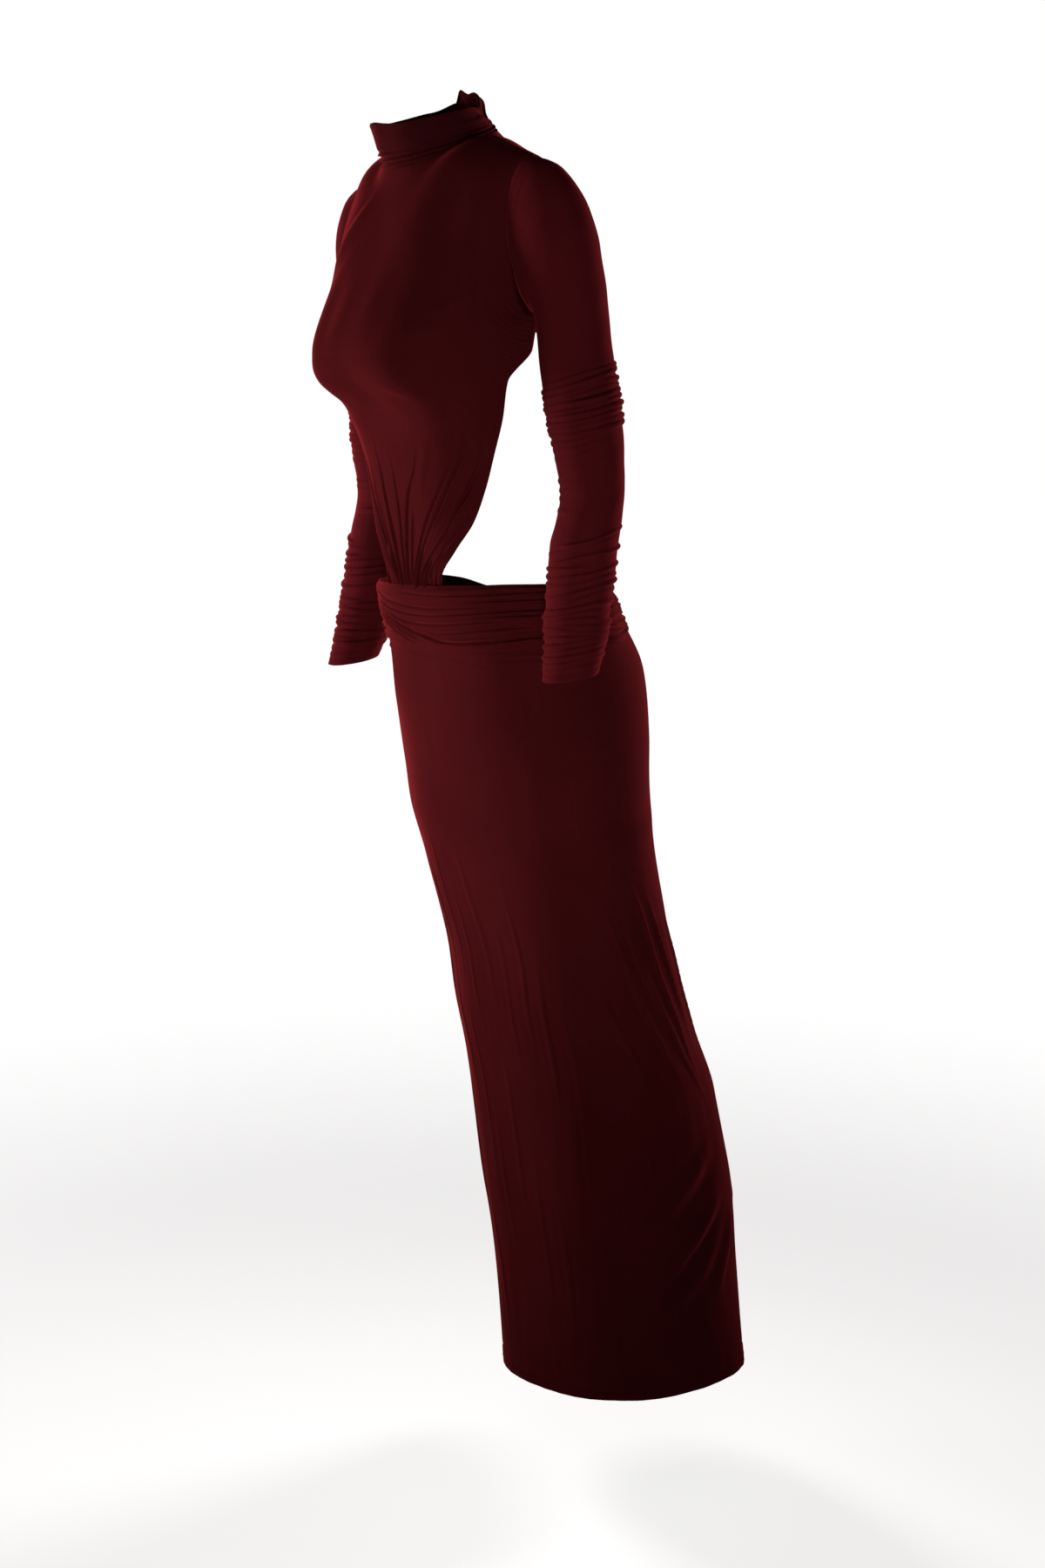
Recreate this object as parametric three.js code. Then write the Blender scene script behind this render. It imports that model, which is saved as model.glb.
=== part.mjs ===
// A worn maxi dress in stretch jersey: high scrunched collar, bodice front with open sides,
// upper back, two long ruched sleeves, a draped hip band and a long tube skirt.
// Millimetres. The dress is drawn upright, with its origin at the middle of the neck base,
// x to the wearer's left, y to the back and z up, and the whole of it is then leaned.
import * as THREE from 'three';

// Cloth and seams
const JERSEY = 1.6;
const DOUBLED = 2.4;
const SEAM = 0.3;

// Lean of the worn dress, degrees
const LEAN_FORWARD = 10;
const LEAN_RIGHT = 4;

// Neck seam: a ring round the base of the neck, lower at the front
const NECK = { radius: 64, depth: 63, y: 9, z: 25, rise: 0.16 };

// Collar above the neck seam
const COLLAR = { z: 61, rise: 0.07, topRadius: 60, topY: -2, flap: 9, flapOut: 8, sides: 26 };

// Armhole: an oval in a plane that leans out by `tilt` for each millimetre of height
const ARMHOLE = { x: 142, y: 12, z: -79, half: 83, front: 38, back: 42, tilt: 0.1 };

// How far the shoulder seam arches up between neck and armhole
const SHOULDER_RISE = 4;

// Foot of the side seam under the arm, where front and back part
const UNDERARM = { x: 127, y: 4, z: -192 };

// Upper back: its lowest line at the centre, and how deep the back stands
const YOKE = { z: -186, depth: 90 };

// Bodice front from the armholes down: one row a level, centre and left edge
const BODICE = [
  { z: -165, y: -122, edgeX: 134, edgeY: 11, edgeZ: -162, wrap: 90 },
  { z: -195, y: -126, edgeX: 127, edgeY: 3, edgeZ: -192, wrap: 88 },
  { z: -222, y: -119, edgeX: 121, edgeY: -36, edgeZ: -219, wrap: 78 },
  { z: -262, y: -120, edgeX: 112, edgeY: -51, edgeZ: -261, wrap: 70 },
  { z: -290, y: -120, edgeX: 104, edgeY: -61, edgeZ: -289, wrap: 64 },
  { z: -325, y: -122, edgeX: 96, edgeY: -74, edgeZ: -324, wrap: 58 },
  { z: -357, y: -124, edgeX: 87, edgeY: -90, edgeZ: -357, wrap: 52 },
  { z: -387, y: -126, edgeX: 67, edgeY: -107, edgeZ: -386, wrap: 46 },
  { z: -412, y: -127, edgeX: 50, edgeY: -118, edgeZ: -411, wrap: 42 },
  { z: -434, y: -127, edgeX: 46, edgeY: -121, edgeZ: -434, wrap: 40 },
];

// Fullness that the front is cut with over the bust, left and right alike
const CUP = { x: 66, z: -181, out: 33, width: 60, above: 62, below: 31 };

// Gathers that run up from the narrow end of the bodice: place across (-1 right, 1 left),
// height where each fades out, and how far it stands out at the foot
const GATHERS = [
  { at: -0.93, top: -310, out: 1.6 },
  { at: -0.78, top: -262, out: 2.0 },
  { at: -0.62, top: -250, out: 1.6 },
  { at: -0.46, top: -290, out: 2.2 },
  { at: -0.3, top: -270, out: 1.7 },
  { at: -0.14, top: -300, out: 2.2 },
  { at: 0.02, top: -286, out: 1.7 },
  { at: 0.18, top: -300, out: 2.3 },
  { at: 0.34, top: -288, out: 2.0 },
  { at: 0.5, top: -300, out: 2.4 },
  { at: 0.66, top: -312, out: 1.8 },
  { at: 0.83, top: -330, out: 2.2 },
];

// Left sleeve: the outermost and innermost line of the tube, its middle and its half depth
const SLEEVE = [
  { outZ: 4, outX: 150.6, inX: 134.2, inZ: -162, y: 12, half: 40 },
  { outZ: -8, outX: 180, inX: 136, inZ: -163, y: 12.5, half: 41 },
  { outZ: -42, outX: 205, inX: 136.5, inZ: -164, y: 13, half: 42 },
  { outZ: -85, outX: 213, inX: 137, inZ: -166, y: 13.5, half: 41 },
  { outZ: -130, outX: 213, inX: 137, inZ: -171, y: 14, half: 40 },
  { outZ: -175, outX: 212, inX: 138, inZ: -183, y: 12, half: 39.5 },
  { outZ: -225, outX: 218, inX: 142, inZ: -226, y: 5, half: 39 },
  { outZ: -290, outX: 226, inX: 152, inZ: -290, y: -3, half: 37.5 },
  { outZ: -340, outX: 226, inX: 157, inZ: -340, y: -9, half: 33.5 },
  { outZ: -390, outX: 225, inX: 153, inZ: -390, y: -28, half: 37 },
  { outZ: -445, outX: 223, inX: 153, inZ: -445, y: -46, half: 36 },
  { outZ: -490, outX: 220, inX: 157, inZ: -490, y: -61, half: 33 },
  { outZ: -524, outX: 217, inX: 159, inZ: -524, y: -74, half: 30 },
];

// Ruching of a sleeve: level, how far each roll stands out, slant from front to back
const ROLLS = [
  { z: -229, out: 1.5, slant: 5 },
  { z: -236, out: 2.4, slant: 4 },
  { z: -243, out: 1.9, slant: 3 },
  { z: -250, out: 2.7, slant: 3 },
  { z: -257, out: 2.1, slant: 1 },
  { z: -264, out: 2.8, slant: -1 },
  { z: -271, out: 2.2, slant: -3 },
  { z: -278, out: 2.6, slant: -4 },
  { z: -285, out: 1.7, slant: -5 },
  { z: -388, out: 1.8, slant: 4 },
  { z: -403, out: 2.0, slant: 3 },
  { z: -419, out: 1.6, slant: 5 },
  { z: -431, out: 2.1, slant: 2 },
  { z: -448, out: 1.5, slant: 0 },
  { z: -460, out: 2.3, slant: -4 },
  { z: -469, out: 2.0, slant: -6 },
  { z: -478, out: 2.6, slant: -7 },
  { z: -487, out: 2.0, slant: -4 },
  { z: -497, out: 2.3, slant: -1 },
  { z: -506, out: 1.3, slant: 1 },
];
const SLEEVE_PLAIN = [4, -8, -26, -55, -85, -120, -160, -200, -302, -328, -355, -376, -516, -524];
const SLEEVE_SIDES = 14;
const RIGHT_ARM = { forward: 15, out: 15, bend: 4 };

// Hip band: upper and lower edge round the figure, from the centre front to the centre back
const BAND_EDGE = [
  { turn: 0, top: -419, foot: -490 },
  { turn: 50, top: -424, foot: -492 },
  { turn: 90, top: -437, foot: -505 },
  { turn: 115, top: -450, foot: -516 },
  { turn: 135, top: -470, foot: -512 },
  { turn: 155, top: -484, foot: -510 },
  { turn: 180, top: -488, foot: -512 },
];
const BAND_LIFT = { top: 5.4, foot: 2.3 };
const PLEATS = 7;
const PLEAT_OUT = 2.0;
const FAN = { turn: -46, width: 42, middle: 0.52, squeeze: 0.5 };

// Hips and skirt: half width, depth to the front and to the back, shift to the back
const SKIRT = [
  { z: -400, side: 128, front: 98, back: 92, shift: -28 },
  { z: -450, side: 141, front: 105, back: 102, shift: -22 },
  { z: -500, side: 151, front: 109, back: 109, shift: -15 },
  { z: -560, side: 156, front: 119, back: 123, shift: -10 },
  { z: -630, side: 160, front: 115, back: 117, shift: -14 },
  { z: -690, side: 160, front: 110, back: 110, shift: -20 },
  { z: -750, side: 157, front: 103, back: 103, shift: -20 },
  { z: -836, side: 152, front: 101, back: 101, shift: -16 },
  { z: -907, side: 150, front: 107, back: 107, shift: -15 },
  { z: -978, side: 149, front: 112, back: 112, shift: -10 },
  { z: -1064, side: 150, front: 124, back: 128, shift: -4 },
  { z: -1158, side: 152, front: 129, back: 129, shift: -4 },
  { z: -1266, side: 154, front: 125, back: 125, shift: -12 },
  { z: -1410, side: 155, front: 128, back: 124, shift: -25 },
];
const SQUARE = 2.25;
const HIP_STEPS = 22;
const HEM = { z: -1390, back: -0.16, left: 0.055 };

// Folds of the skirt: from (turn, z) to (turn, z), turn being 0 at the front, left positive
const SKIRT_FOLDS = [
  { turnA: -38, zA: -900, turnB: -40, zB: -1340, width: 11, out: 1.8 },
  { turnA: -22, zA: -960, turnB: -26, zB: -1340, width: 12, out: 2.4 },
  { turnA: -8, zA: -860, turnB: -12, zB: -1340, width: 11, out: 2.0 },
  { turnA: 6, zA: -940, turnB: 2, zB: -1340, width: 12, out: 2.6 },
  { turnA: 20, zA: -1000, turnB: 14, zB: -1345, width: 11, out: 1.8 },
  { turnA: 34, zA: -900, turnB: 30, zB: -1350, width: 13, out: 2.2 },
  { turnA: 50, zA: -1080, turnB: 46, zB: -1350, width: 12, out: 1.8 },
  { turnA: 118, zA: -800, turnB: 88, zB: -1010, width: 14, out: 3.2 },
  { turnA: 132, zA: -830, turnB: 96, zB: -1060, width: 15, out: 3.6 },
  { turnA: 146, zA: -860, turnB: 108, zB: -1100, width: 14, out: 3.0 },
  { turnA: 160, zA: -850, turnB: 122, zB: -1090, width: 14, out: 3.2 },
  { turnA: -130, zA: -830, turnB: -98, zB: -1050, width: 15, out: 3.2 },
  { turnA: -150, zA: -850, turnB: -112, zB: -1090, width: 14, out: 3.4 },
  { turnA: -172, zA: -840, turnB: -136, zB: -1070, width: 14, out: 2.8 },
  { turnA: 120, zA: -1180, turnB: 86, zB: -1240, width: 16, out: 2.4 },
  { turnA: 130, zA: -1240, turnB: 92, zB: -1310, width: 16, out: 2.2 },
  { turnA: -124, zA: -1190, turnB: -88, zB: -1250, width: 16, out: 2.2 },
];

const RAD = Math.PI / 180;
const mix = (a, b, t) => a + (b - a) * t;
const ease = (t) => t * t * (3 - 2 * t);
const clamp01 = (t) => Math.min(1, Math.max(0, t));
const bump = (distance, width) => Math.exp(-((distance / width) ** 2));
const signedTurn = (turn) => (turn > 180 ? turn - 360 : turn);

// A column of a table at a key: smooth through the rows, with no overshoot between them
function column(rows, key, name, at) {
  const sign = Math.sign(rows[1][key] - rows[0][key]);
  const last = rows.length - 1;
  let i = 0;
  while (i < last - 1 && sign * (at - rows[i + 1][key]) > 0) i += 1;
  const slope = (k) => (rows[k + 1][name] - rows[k][name]) / (rows[k + 1][key] - rows[k][key]);
  const tangent = (k) => {
    if (k === 0) return slope(0);
    if (k === last) return slope(last - 1);
    const before = slope(k - 1);
    const after = slope(k);
    return before * after > 0 ? (2 * before * after) / (before + after) : 0;
  };
  const step = rows[i + 1][key] - rows[i][key];
  const t = clamp01((at - rows[i][key]) / step);
  const s = 1 - t;
  return rows[i][name] * s * s * (1 + 2 * t) + rows[i + 1][name] * t * t * (3 - 2 * t)
    + step * t * s * (s * tangent(i) - t * tangent(i + 1));
}

// A curve from a to b that leaves along `from` and arrives along `to`
function arc(a, b, from, to, t) {
  const s = 1 - t;
  return new THREE.Vector3()
    .addScaledVector(a, s * s * (1 + 2 * t))
    .addScaledVector(b, t * t * (3 - 2 * t))
    .addScaledVector(from, t * s * s)
    .addScaledVector(to, -t * t * s);
}

// Evenly spaced steps from 0 to 1
const steps = (count) => Array.from({ length: count + 1 }, (_, i) => i / count);

// A cloth wall: its outer face is `surface(u, v)` moved out by `fold(u, v)`, and its inner face
// lies one thickness inside. `closed` joins the last u to the first.
function cloth(name, finish, { us, vs, closed = false, wall = JERSEY }, surface, fold = () => 0) {
  const across = us.length;
  const along = vs.length;
  const base = vs.map((v) => us.map((u) => surface(u, v)));
  const nudge = 1e-3;
  const normalAt = (u, v) => {
    const uHi = closed ? u + nudge : Math.min(u + nudge, us[across - 1]);
    const uLo = closed ? u - nudge : Math.max(u - nudge, us[0]);
    const vHi = Math.min(v + nudge, vs[along - 1]);
    const vLo = Math.max(v - nudge, vs[0]);
    const du = surface(uHi, v).sub(surface(uLo, v));
    const dv = surface(u, vHi).sub(surface(u, vLo));
    return du.cross(dv).normalize();
  };
  const normals = vs.map((v) => us.map((u) => normalAt(u, v)));
  const middle = new THREE.Vector3();
  base.flat().forEach((p) => middle.addScaledVector(p, 1 / (across * along)));
  let facing = 0;
  base.forEach((row, j) => row.forEach((p, i) => {
    facing += normals[j][i].dot(p.clone().sub(middle));
  }));
  const out = Math.sign(facing);
  const points = [];
  for (const depth of [0, wall]) {
    base.forEach((row, j) => row.forEach((p, i) => {
      const offset = out * (fold(us[i], vs[j]) - depth);
      points.push(p.clone().addScaledVector(normals[j][i], offset));
    }));
  }
  const id = (layer, i, j) => (layer * along + j) * across + (i % across);
  const triangles = [];
  const quad = (a, b, c, d) => {
    const corners = out > 0 ? [a, b, c, a, c, d] : [a, c, b, a, d, c];
    triangles.push(...corners);
  };
  const cells = closed ? across : across - 1;
  for (let i = 0; i < cells; i += 1) {
    for (let j = 0; j < along - 1; j += 1) {
      quad(id(0, i, j), id(0, i + 1, j), id(0, i + 1, j + 1), id(0, i, j + 1));
      quad(id(1, i, j), id(1, i, j + 1), id(1, i + 1, j + 1), id(1, i + 1, j));
    }
    quad(id(0, i, 0), id(1, i, 0), id(1, i + 1, 0), id(0, i + 1, 0));
    const end = along - 1;
    quad(id(0, i, end), id(0, i + 1, end), id(1, i + 1, end), id(1, i, end));
  }
  if (!closed) {
    const end = across - 1;
    for (let j = 0; j < along - 1; j += 1) {
      quad(id(0, 0, j), id(0, 0, j + 1), id(1, 0, j + 1), id(1, 0, j));
      quad(id(0, end, j), id(1, end, j), id(1, end, j + 1), id(0, end, j + 1));
    }
  }
  const geometry = new THREE.BufferGeometry();
  geometry.setAttribute('position', new THREE.Float32BufferAttribute(points.flatMap((p) => [...p]), 3));
  geometry.setIndex(triangles);
  geometry.computeVertexNormals();
  const mesh = new THREE.Mesh(geometry, finish);
  mesh.name = name;
  return mesh;
}

// Finishes
const jersey = (color) => new THREE.MeshStandardMaterial({ color, roughness: 0.85, metalness: 0 });
const BURGUNDY = 0x4a0e15;
const BURGUNDY_DEEP = 0x440c13;
const BURGUNDY_LIT = 0x52111a;

// Neck seam at an angle: 0 left, 90 back, -90 front, widened by `grow`
function neckSeam(angle, grow = 0) {
  const x = (NECK.radius + grow) * Math.cos(angle);
  const y = (NECK.depth + grow) * Math.sin(angle);
  return new THREE.Vector3(x, NECK.y + y, NECK.z + NECK.rise * y);
}

// Armhole edge: 0 at the shoulder, pi at the underarm; side 1 is the front half, -1 the back
function armhole(angle, side) {
  const depth = side > 0 ? ARMHOLE.front : ARMHOLE.back;
  const z = ARMHOLE.half * Math.cos(angle);
  const y = ARMHOLE.y - side * (SEAM + depth * Math.sin(angle));
  return new THREE.Vector3(ARMHOLE.x + ARMHOLE.tilt * z, y, ARMHOLE.z + z);
}

// Upper edge that front and back share: round the neck, then out along the shoulder.
// `part` runs from 0 at the centre to 1 at the shoulder end; side 1 is the front.
const NECK_SHARE = 0.42;
function shoulderLine(part, side) {
  if (part < NECK_SHARE) {
    const edge = neckSeam(-side * (Math.PI / 2) * (1 - part / NECK_SHARE));
    edge.y -= side * SEAM;
    return edge;
  }
  const t = (part - NECK_SHARE) / (1 - NECK_SHARE);
  const from = neckSeam(0);
  from.y -= side * SEAM;
  const point = from.lerp(armhole(0, side), t);
  point.z += SHOULDER_RISE * Math.sin(Math.PI * t);
  return point;
}

// How a panel leaves the shoulder line: down the front at the neck, flat along the shoulder
function leaving(part, side, reach) {
  const flat = ease(clamp01(part / NECK_SHARE));
  const forward = mix(0.35, 1, flat);
  const down = mix(1, 0.06, flat);
  return new THREE.Vector3(0, -side * forward, -down).multiplyScalar(reach);
}

// Panel between the shoulder line and a lower line, with the armhole as its side
function shoulderPanel(u, t, side, lower, reach) {
  const [over, fallBy] = reach;
  const part = Math.abs(u);
  const mirror = Math.sign(u) || 1;
  const run = (p) => {
    const start = shoulderLine(p, side);
    const fall = new THREE.Vector3(0, 0, -fallBy);
    return arc(start, lower(p), leaving(p, side, over), fall, t);
  };
  const point = run(part);
  const pull = armhole(Math.PI * t, side).sub(run(1));
  point.addScaledVector(pull, ease(clamp01((part - 0.45) / 0.55)));
  point.x *= mirror;
  return point;
}

// Bodice front below the armholes: a rounded line from edge to edge at one level
function bodiceRow(part, z) {
  const [y, x, edgeY, edgeZ, wrap] = ['y', 'edgeX', 'edgeY', 'edgeZ', 'wrap']
    .map((name) => column(BODICE, 'z', name, z));
  const turn = wrap * RAD * part;
  const bend = (1 - Math.cos(turn)) / (1 - Math.cos(wrap * RAD));
  const squared = bend ** 1.6;
  return new THREE.Vector3(
    (x * Math.sin(turn)) / Math.sin(wrap * RAD),
    mix(y, edgeY, squared),
    mix(z, edgeZ, bend),
  );
}

// The whole bodice front: v from 0 to 1 over the chest, from 1 to 2 below the armholes
const CHEST = BODICE[0].z;
const TAIL = BODICE[BODICE.length - 1].z;
function bodiceFront(u, v) {
  const chest = (part) => bodiceRow(part, CHEST);
  const point = v < 1
    ? shoulderPanel(u, v, 1, chest, [250, 150])
    : bodiceRow(Math.abs(u), mix(CHEST, TAIL, v - 1));
  if (v >= 1) point.x *= Math.sign(u) || 1;
  const rise = point.z - CUP.z;
  const cup = bump(rise, rise > 0 ? CUP.above : CUP.below) * CUP.out;
  point.y -= cup * (bump(point.x - CUP.x, CUP.width) + bump(point.x + CUP.x, CUP.width));
  return point;
}

function gatherFold(u, v) {
  const z = mix(CHEST, TAIL, v - 1);
  return GATHERS.reduce((sum, g) => {
    const fade = ease(clamp01((g.top - z) / (g.top + 395)));
    return sum + g.out * fade * bump(u - g.at, 0.045);
  }, 0);
}

function makeBodiceFront() {
  const marks = GATHERS.map((g) => g.at);
  const valleys = marks.slice(1).map((at, i) => (at + marks[i]) / 2);
  const us = [-1, ...marks, ...valleys, 1].sort((a, b) => a - b);
  const vs = [...steps(8), ...steps(15).slice(1).map((t) => 1 + t)];
  return cloth('bodice_front', jersey(BURGUNDY), { us, vs }, bodiceFront, gatherFold);
}

// Upper back: from the shoulder line down to its open lower edge
function makeBackYoke() {
  const lower = (part) => {
    const turn = (Math.PI / 2) * part;
    return new THREE.Vector3(
      UNDERARM.x * Math.sin(turn),
      mix(YOKE.depth, UNDERARM.y + SEAM, 1 - Math.cos(turn)),
      mix(YOKE.z, UNDERARM.z, 1 - Math.cos(turn)),
    );
  };
  const us = steps(20).map((t) => 2 * t - 1);
  const shape = (u, t) => {
    const point = shoulderPanel(u, t, -1, lower, [290, 130]);
    const part = Math.abs(u);
    const seat = ease(clamp01((part - 0.45) / 0.55)) * ease(clamp01((t - 0.75) / 0.25));
    return point.lerp(lower(part).multiply(new THREE.Vector3(Math.sign(u) || 1, 1, 1)), seat);
  };
  return cloth('back_yoke', jersey(BURGUNDY_DEEP), { us, vs: steps(9) }, shape);
}

// Sleeve: rings from the armhole to the cuff; side -1 mirrors it to the wearer's right
function sleevePoint(side, turn, z) {
  const [outX, inX, inZ, y, half] = ['outX', 'inX', 'inZ', 'y', 'half']
    .map((name) => column(SLEEVE, 'outZ', name, z));
  const reach = clamp01((z + 200) / (SLEEVE[SLEEVE.length - 1].outZ + 200));
  const roll = ROLLS.reduce((best, r) => (Math.abs(r.z - z) < Math.abs(best.z - z) ? r : best));
  const slant = roll.slant * bump(roll.z - z, 14);
  const c = Math.cos(turn);
  const s = Math.sin(turn);
  const carried = side < 0 ? reach ** RIGHT_ARM.bend : 0;
  return new THREE.Vector3(
    side * (mix(inX, outX, (1 + c) / 2) + SEAM + RIGHT_ARM.out * carried),
    y - half * s - RIGHT_ARM.forward * carried,
    mix(inZ, z, (1 + c) / 2) + slant * s,
  );
}

function makeSleeve(name, side) {
  const levels = [...SLEEVE_PLAIN, ...ROLLS.map((r) => r.z)];
  ROLLS.slice(1).forEach((r, i) => {
    const gap = ROLLS[i].z - r.z;
    if (gap < 30) levels.push((r.z + ROLLS[i].z) / 2);
  });
  levels.sort((a, b) => b - a);
  const us = steps(SLEEVE_SIDES).slice(0, -1);
  const top = SLEEVE[0].outZ;
  const length = top - SLEEVE[SLEEVE.length - 1].outZ;
  const vs = levels.map((z) => (top - z) / length);
  const levelAt = (v) => top - v * length;
  const shape = (u, v) => sleevePoint(side, 2 * Math.PI * u, levelAt(v));
  const ruching = (u, v) => ROLLS.reduce((sum, r) => {
    const round = 1 + 0.35 * Math.sin(2 * Math.PI * u * 2 + r.z);
    return sum + r.out * round * bump(levelAt(v) - r.z, 2.6);
  }, 0);
  return cloth(name, jersey(BURGUNDY_LIT), { us, vs, closed: true }, shape, ruching);
}

// Point on the hips or skirt: turn in degrees from the centre front, left positive
function hipPoint(turn, z, lift = 0) {
  const [side, front, back, shift] = ['side', 'front', 'back', 'shift']
    .map((name) => column(SKIRT, 'z', name, z));
  const c = Math.cos(turn * RAD);
  const s = Math.sin(turn * RAD);
  const power = 2 / SQUARE;
  const depth = (c > 0 ? front : back) + lift;
  return new THREE.Vector3(
    (side + lift) * Math.sign(s) * Math.abs(s) ** power,
    shift - depth * Math.sign(c) * Math.abs(c) ** power,
    z,
  );
}

// Half of the hip band, front or back, with its pleats drawn together at the fan point
function bandPoint(turn, height) {
  const round = Math.abs(signedTurn(turn));
  const top = column(BAND_EDGE, 'turn', 'top', round);
  const foot = column(BAND_EDGE, 'turn', 'foot', round);
  const drawn = FAN.squeeze * bump(turn - FAN.turn, FAN.width);
  const inside = height > 0 && height < 1;
  const level = inside ? mix(height, FAN.middle + (height - FAN.middle) * 0.45, drawn) : height;
  return hipPoint(turn, mix(top, foot, level), mix(BAND_LIFT.top, BAND_LIFT.foot, level));
}

function makeBand(name, from, to) {
  const us = steps(HIP_STEPS).map((t) => mix(from, to, t));
  const vs = steps(2 * PLEATS);
  const pleat = (turn, v) => {
    const edge = Math.min(1, v * 6, (1 - v) * 6);
    const wave = 0.5 - 0.5 * Math.cos(2 * Math.PI * PLEATS * v);
    return PLEAT_OUT * wave * (0.6 + 0.4 * edge);
  };
  return cloth(name, jersey(BURGUNDY), { us, vs }, bandPoint, pleat);
}

// Outward stand of the skirt's folds at a place
function skirtFold(turn, z) {
  const perDegree = 2.6;
  return SKIRT_FOLDS.reduce((sum, f) => {
    const along = new THREE.Vector2((f.turnB - f.turnA) * perDegree, f.zB - f.zA);
    const here = new THREE.Vector2((signedTurn(turn) - f.turnA) * perDegree, z - f.zA);
    const t = here.dot(along) / along.lengthSq();
    const distance = Math.abs(here.cross(along)) / along.length();
    const fade = ease(clamp01(t * 4 + 0.2)) * ease(clamp01((1.1 - t) * 4));
    return sum + f.out * fade * bump(distance, f.width);
  }, 0);
}

function makeSkirt(name, from, to) {
  const us = steps(HIP_STEPS).map((t) => mix(from, to, t));
  const hem = (turn) => {
    const at = hipPoint(turn, HEM.z);
    return HEM.z + HEM.back * at.y + HEM.left * at.x;
  };
  const waist = (turn) => column(BAND_EDGE, 'turn', 'foot', Math.abs(signedTurn(turn))) + 6;
  const level = (turn, v) => mix(waist(turn), hem(turn), v);
  const shape = (turn, v) => hipPoint(turn, level(turn, v));
  const fold = (turn, v) => skirtFold(turn, level(turn, v));
  return cloth(name, jersey(BURGUNDY), { us, vs: steps(20) }, shape, fold);
}

// Collar: a doubled tube scrunched into two creases at its foot, standing up at the back
const COLLAR_ROWS = [
  { up: 0, out: 0 },
  { up: 0.05, out: 2.6 },
  { up: 0.12, out: 0.2 },
  { up: 0.21, out: 3.0 },
  { up: 0.31, out: 0 },
  { up: 0.42, out: 1.1 },
  { up: 0.7, out: 0.4 },
  { up: 0.94, out: 0.3 },
  { up: 1, out: 0 },
];
function makeCollar() {
  const us = steps(COLLAR.sides).slice(0, -1);
  const clearance = 0.5;
  const shape = (u, v) => {
    const angle = 2 * Math.PI * u;
    const foot = neckSeam(angle, -clearance);
    foot.z += clearance;
    const backness = Math.max(0, Math.sin(angle)) ** 3;
    const y = COLLAR.topY + (COLLAR.topRadius + COLLAR.flapOut * backness) * Math.sin(angle);
    const top = new THREE.Vector3(
      COLLAR.topRadius * Math.cos(angle),
      y,
      COLLAR.z + COLLAR.rise * y + COLLAR.flap * backness * (0.75 + 0.25 * Math.cos(9 * angle)),
    );
    return foot.lerp(top, v);
  };
  const fold = (u, v) => {
    const angle = 2 * Math.PI * u;
    const backness = Math.max(0, Math.sin(angle)) ** 3;
    const loose = 2.6 * backness * Math.cos(7 * angle + 5 * v) * ease(clamp01(v * 2 - 0.4));
    return column(COLLAR_ROWS, 'up', 'out', v) * (0.8 + 0.2 * Math.cos(3 * angle)) + loose;
  };
  const vs = COLLAR_ROWS.map((row) => row.up);
  return cloth('collar', jersey(BURGUNDY_LIT), { us, vs, closed: true, wall: DOUBLED }, shape, fold);
}

const dress = new THREE.Group();
const seamTurn = SEAM / 2 / 2.9;
dress.add(
  makeCollar(),
  makeBodiceFront(),
  makeBackYoke(),
  makeSleeve('sleeve_left', 1),
  makeSleeve('sleeve_right', -1),
  makeBand('hip_band_front', -90 + seamTurn, 90 - seamTurn),
  makeBand('hip_band_back', 90 + seamTurn, 270 - seamTurn),
  makeSkirt('skirt_front', -90 + seamTurn, 90 - seamTurn),
  makeSkirt('skirt_back', 90 + seamTurn, 270 - seamTurn),
);

// Lean: forward about x, then to the wearer's right about y
const tipped = new THREE.Group();
tipped.add(dress);
dress.rotation.x = LEAN_FORWARD * RAD;
tipped.rotation.y = -LEAN_RIGHT * RAD;

export default tipped;
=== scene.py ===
"""A worn maxi dress in burgundy stretch jersey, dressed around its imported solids.

High scrunched collar, bodice front with open sides, upper back, two long ruched sleeves, a
draped hip band and a long tube skirt. The dress is drawn upright in millimetres, x to the
wearer's left, y to the back and z up from the middle of the neck base, and is then leaned and
brought to metres in the row frame.
"""

from __future__ import annotations

import logging
import math
from dataclasses import dataclass, field
from enum import Enum
from typing import ClassVar

import bpy
import numpy as np
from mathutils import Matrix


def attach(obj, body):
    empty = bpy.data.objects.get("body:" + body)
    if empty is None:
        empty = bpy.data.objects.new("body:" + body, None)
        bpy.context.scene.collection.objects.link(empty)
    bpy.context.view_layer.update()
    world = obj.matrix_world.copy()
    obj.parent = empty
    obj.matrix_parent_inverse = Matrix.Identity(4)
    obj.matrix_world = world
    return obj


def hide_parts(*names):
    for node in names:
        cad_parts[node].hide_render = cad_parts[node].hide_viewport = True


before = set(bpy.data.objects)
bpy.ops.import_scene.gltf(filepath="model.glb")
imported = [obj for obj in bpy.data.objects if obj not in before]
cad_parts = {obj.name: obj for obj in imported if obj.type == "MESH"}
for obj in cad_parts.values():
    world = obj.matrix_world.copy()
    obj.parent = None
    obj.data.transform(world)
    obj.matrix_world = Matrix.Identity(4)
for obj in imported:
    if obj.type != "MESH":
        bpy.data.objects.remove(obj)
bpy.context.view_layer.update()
LOG = logging.getLogger("dress")

# Lean of the worn dress, degrees: forward about x, then to the wearer's right about y
LEAN_FORWARD = 10.0
LEAN_RIGHT = 4.0

SEAM = 0.3  # mm between two pieces that are sewn together
RAD = math.pi / 180.0
PER_TURN = 2.6  # mm of cloth for a degree round the hips
PER_ARM_TURN = 0.62  # mm of cloth for a degree round a sleeve
PER_NECK_TURN = 1.07  # mm of cloth for a degree round the collar
WAVE_UNIT = 0.314  # units that one wave of the wave texture takes at scale 1
THREAD_LIFT = 0.15  # mm from the cloth to the middle of a stitch

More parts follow.
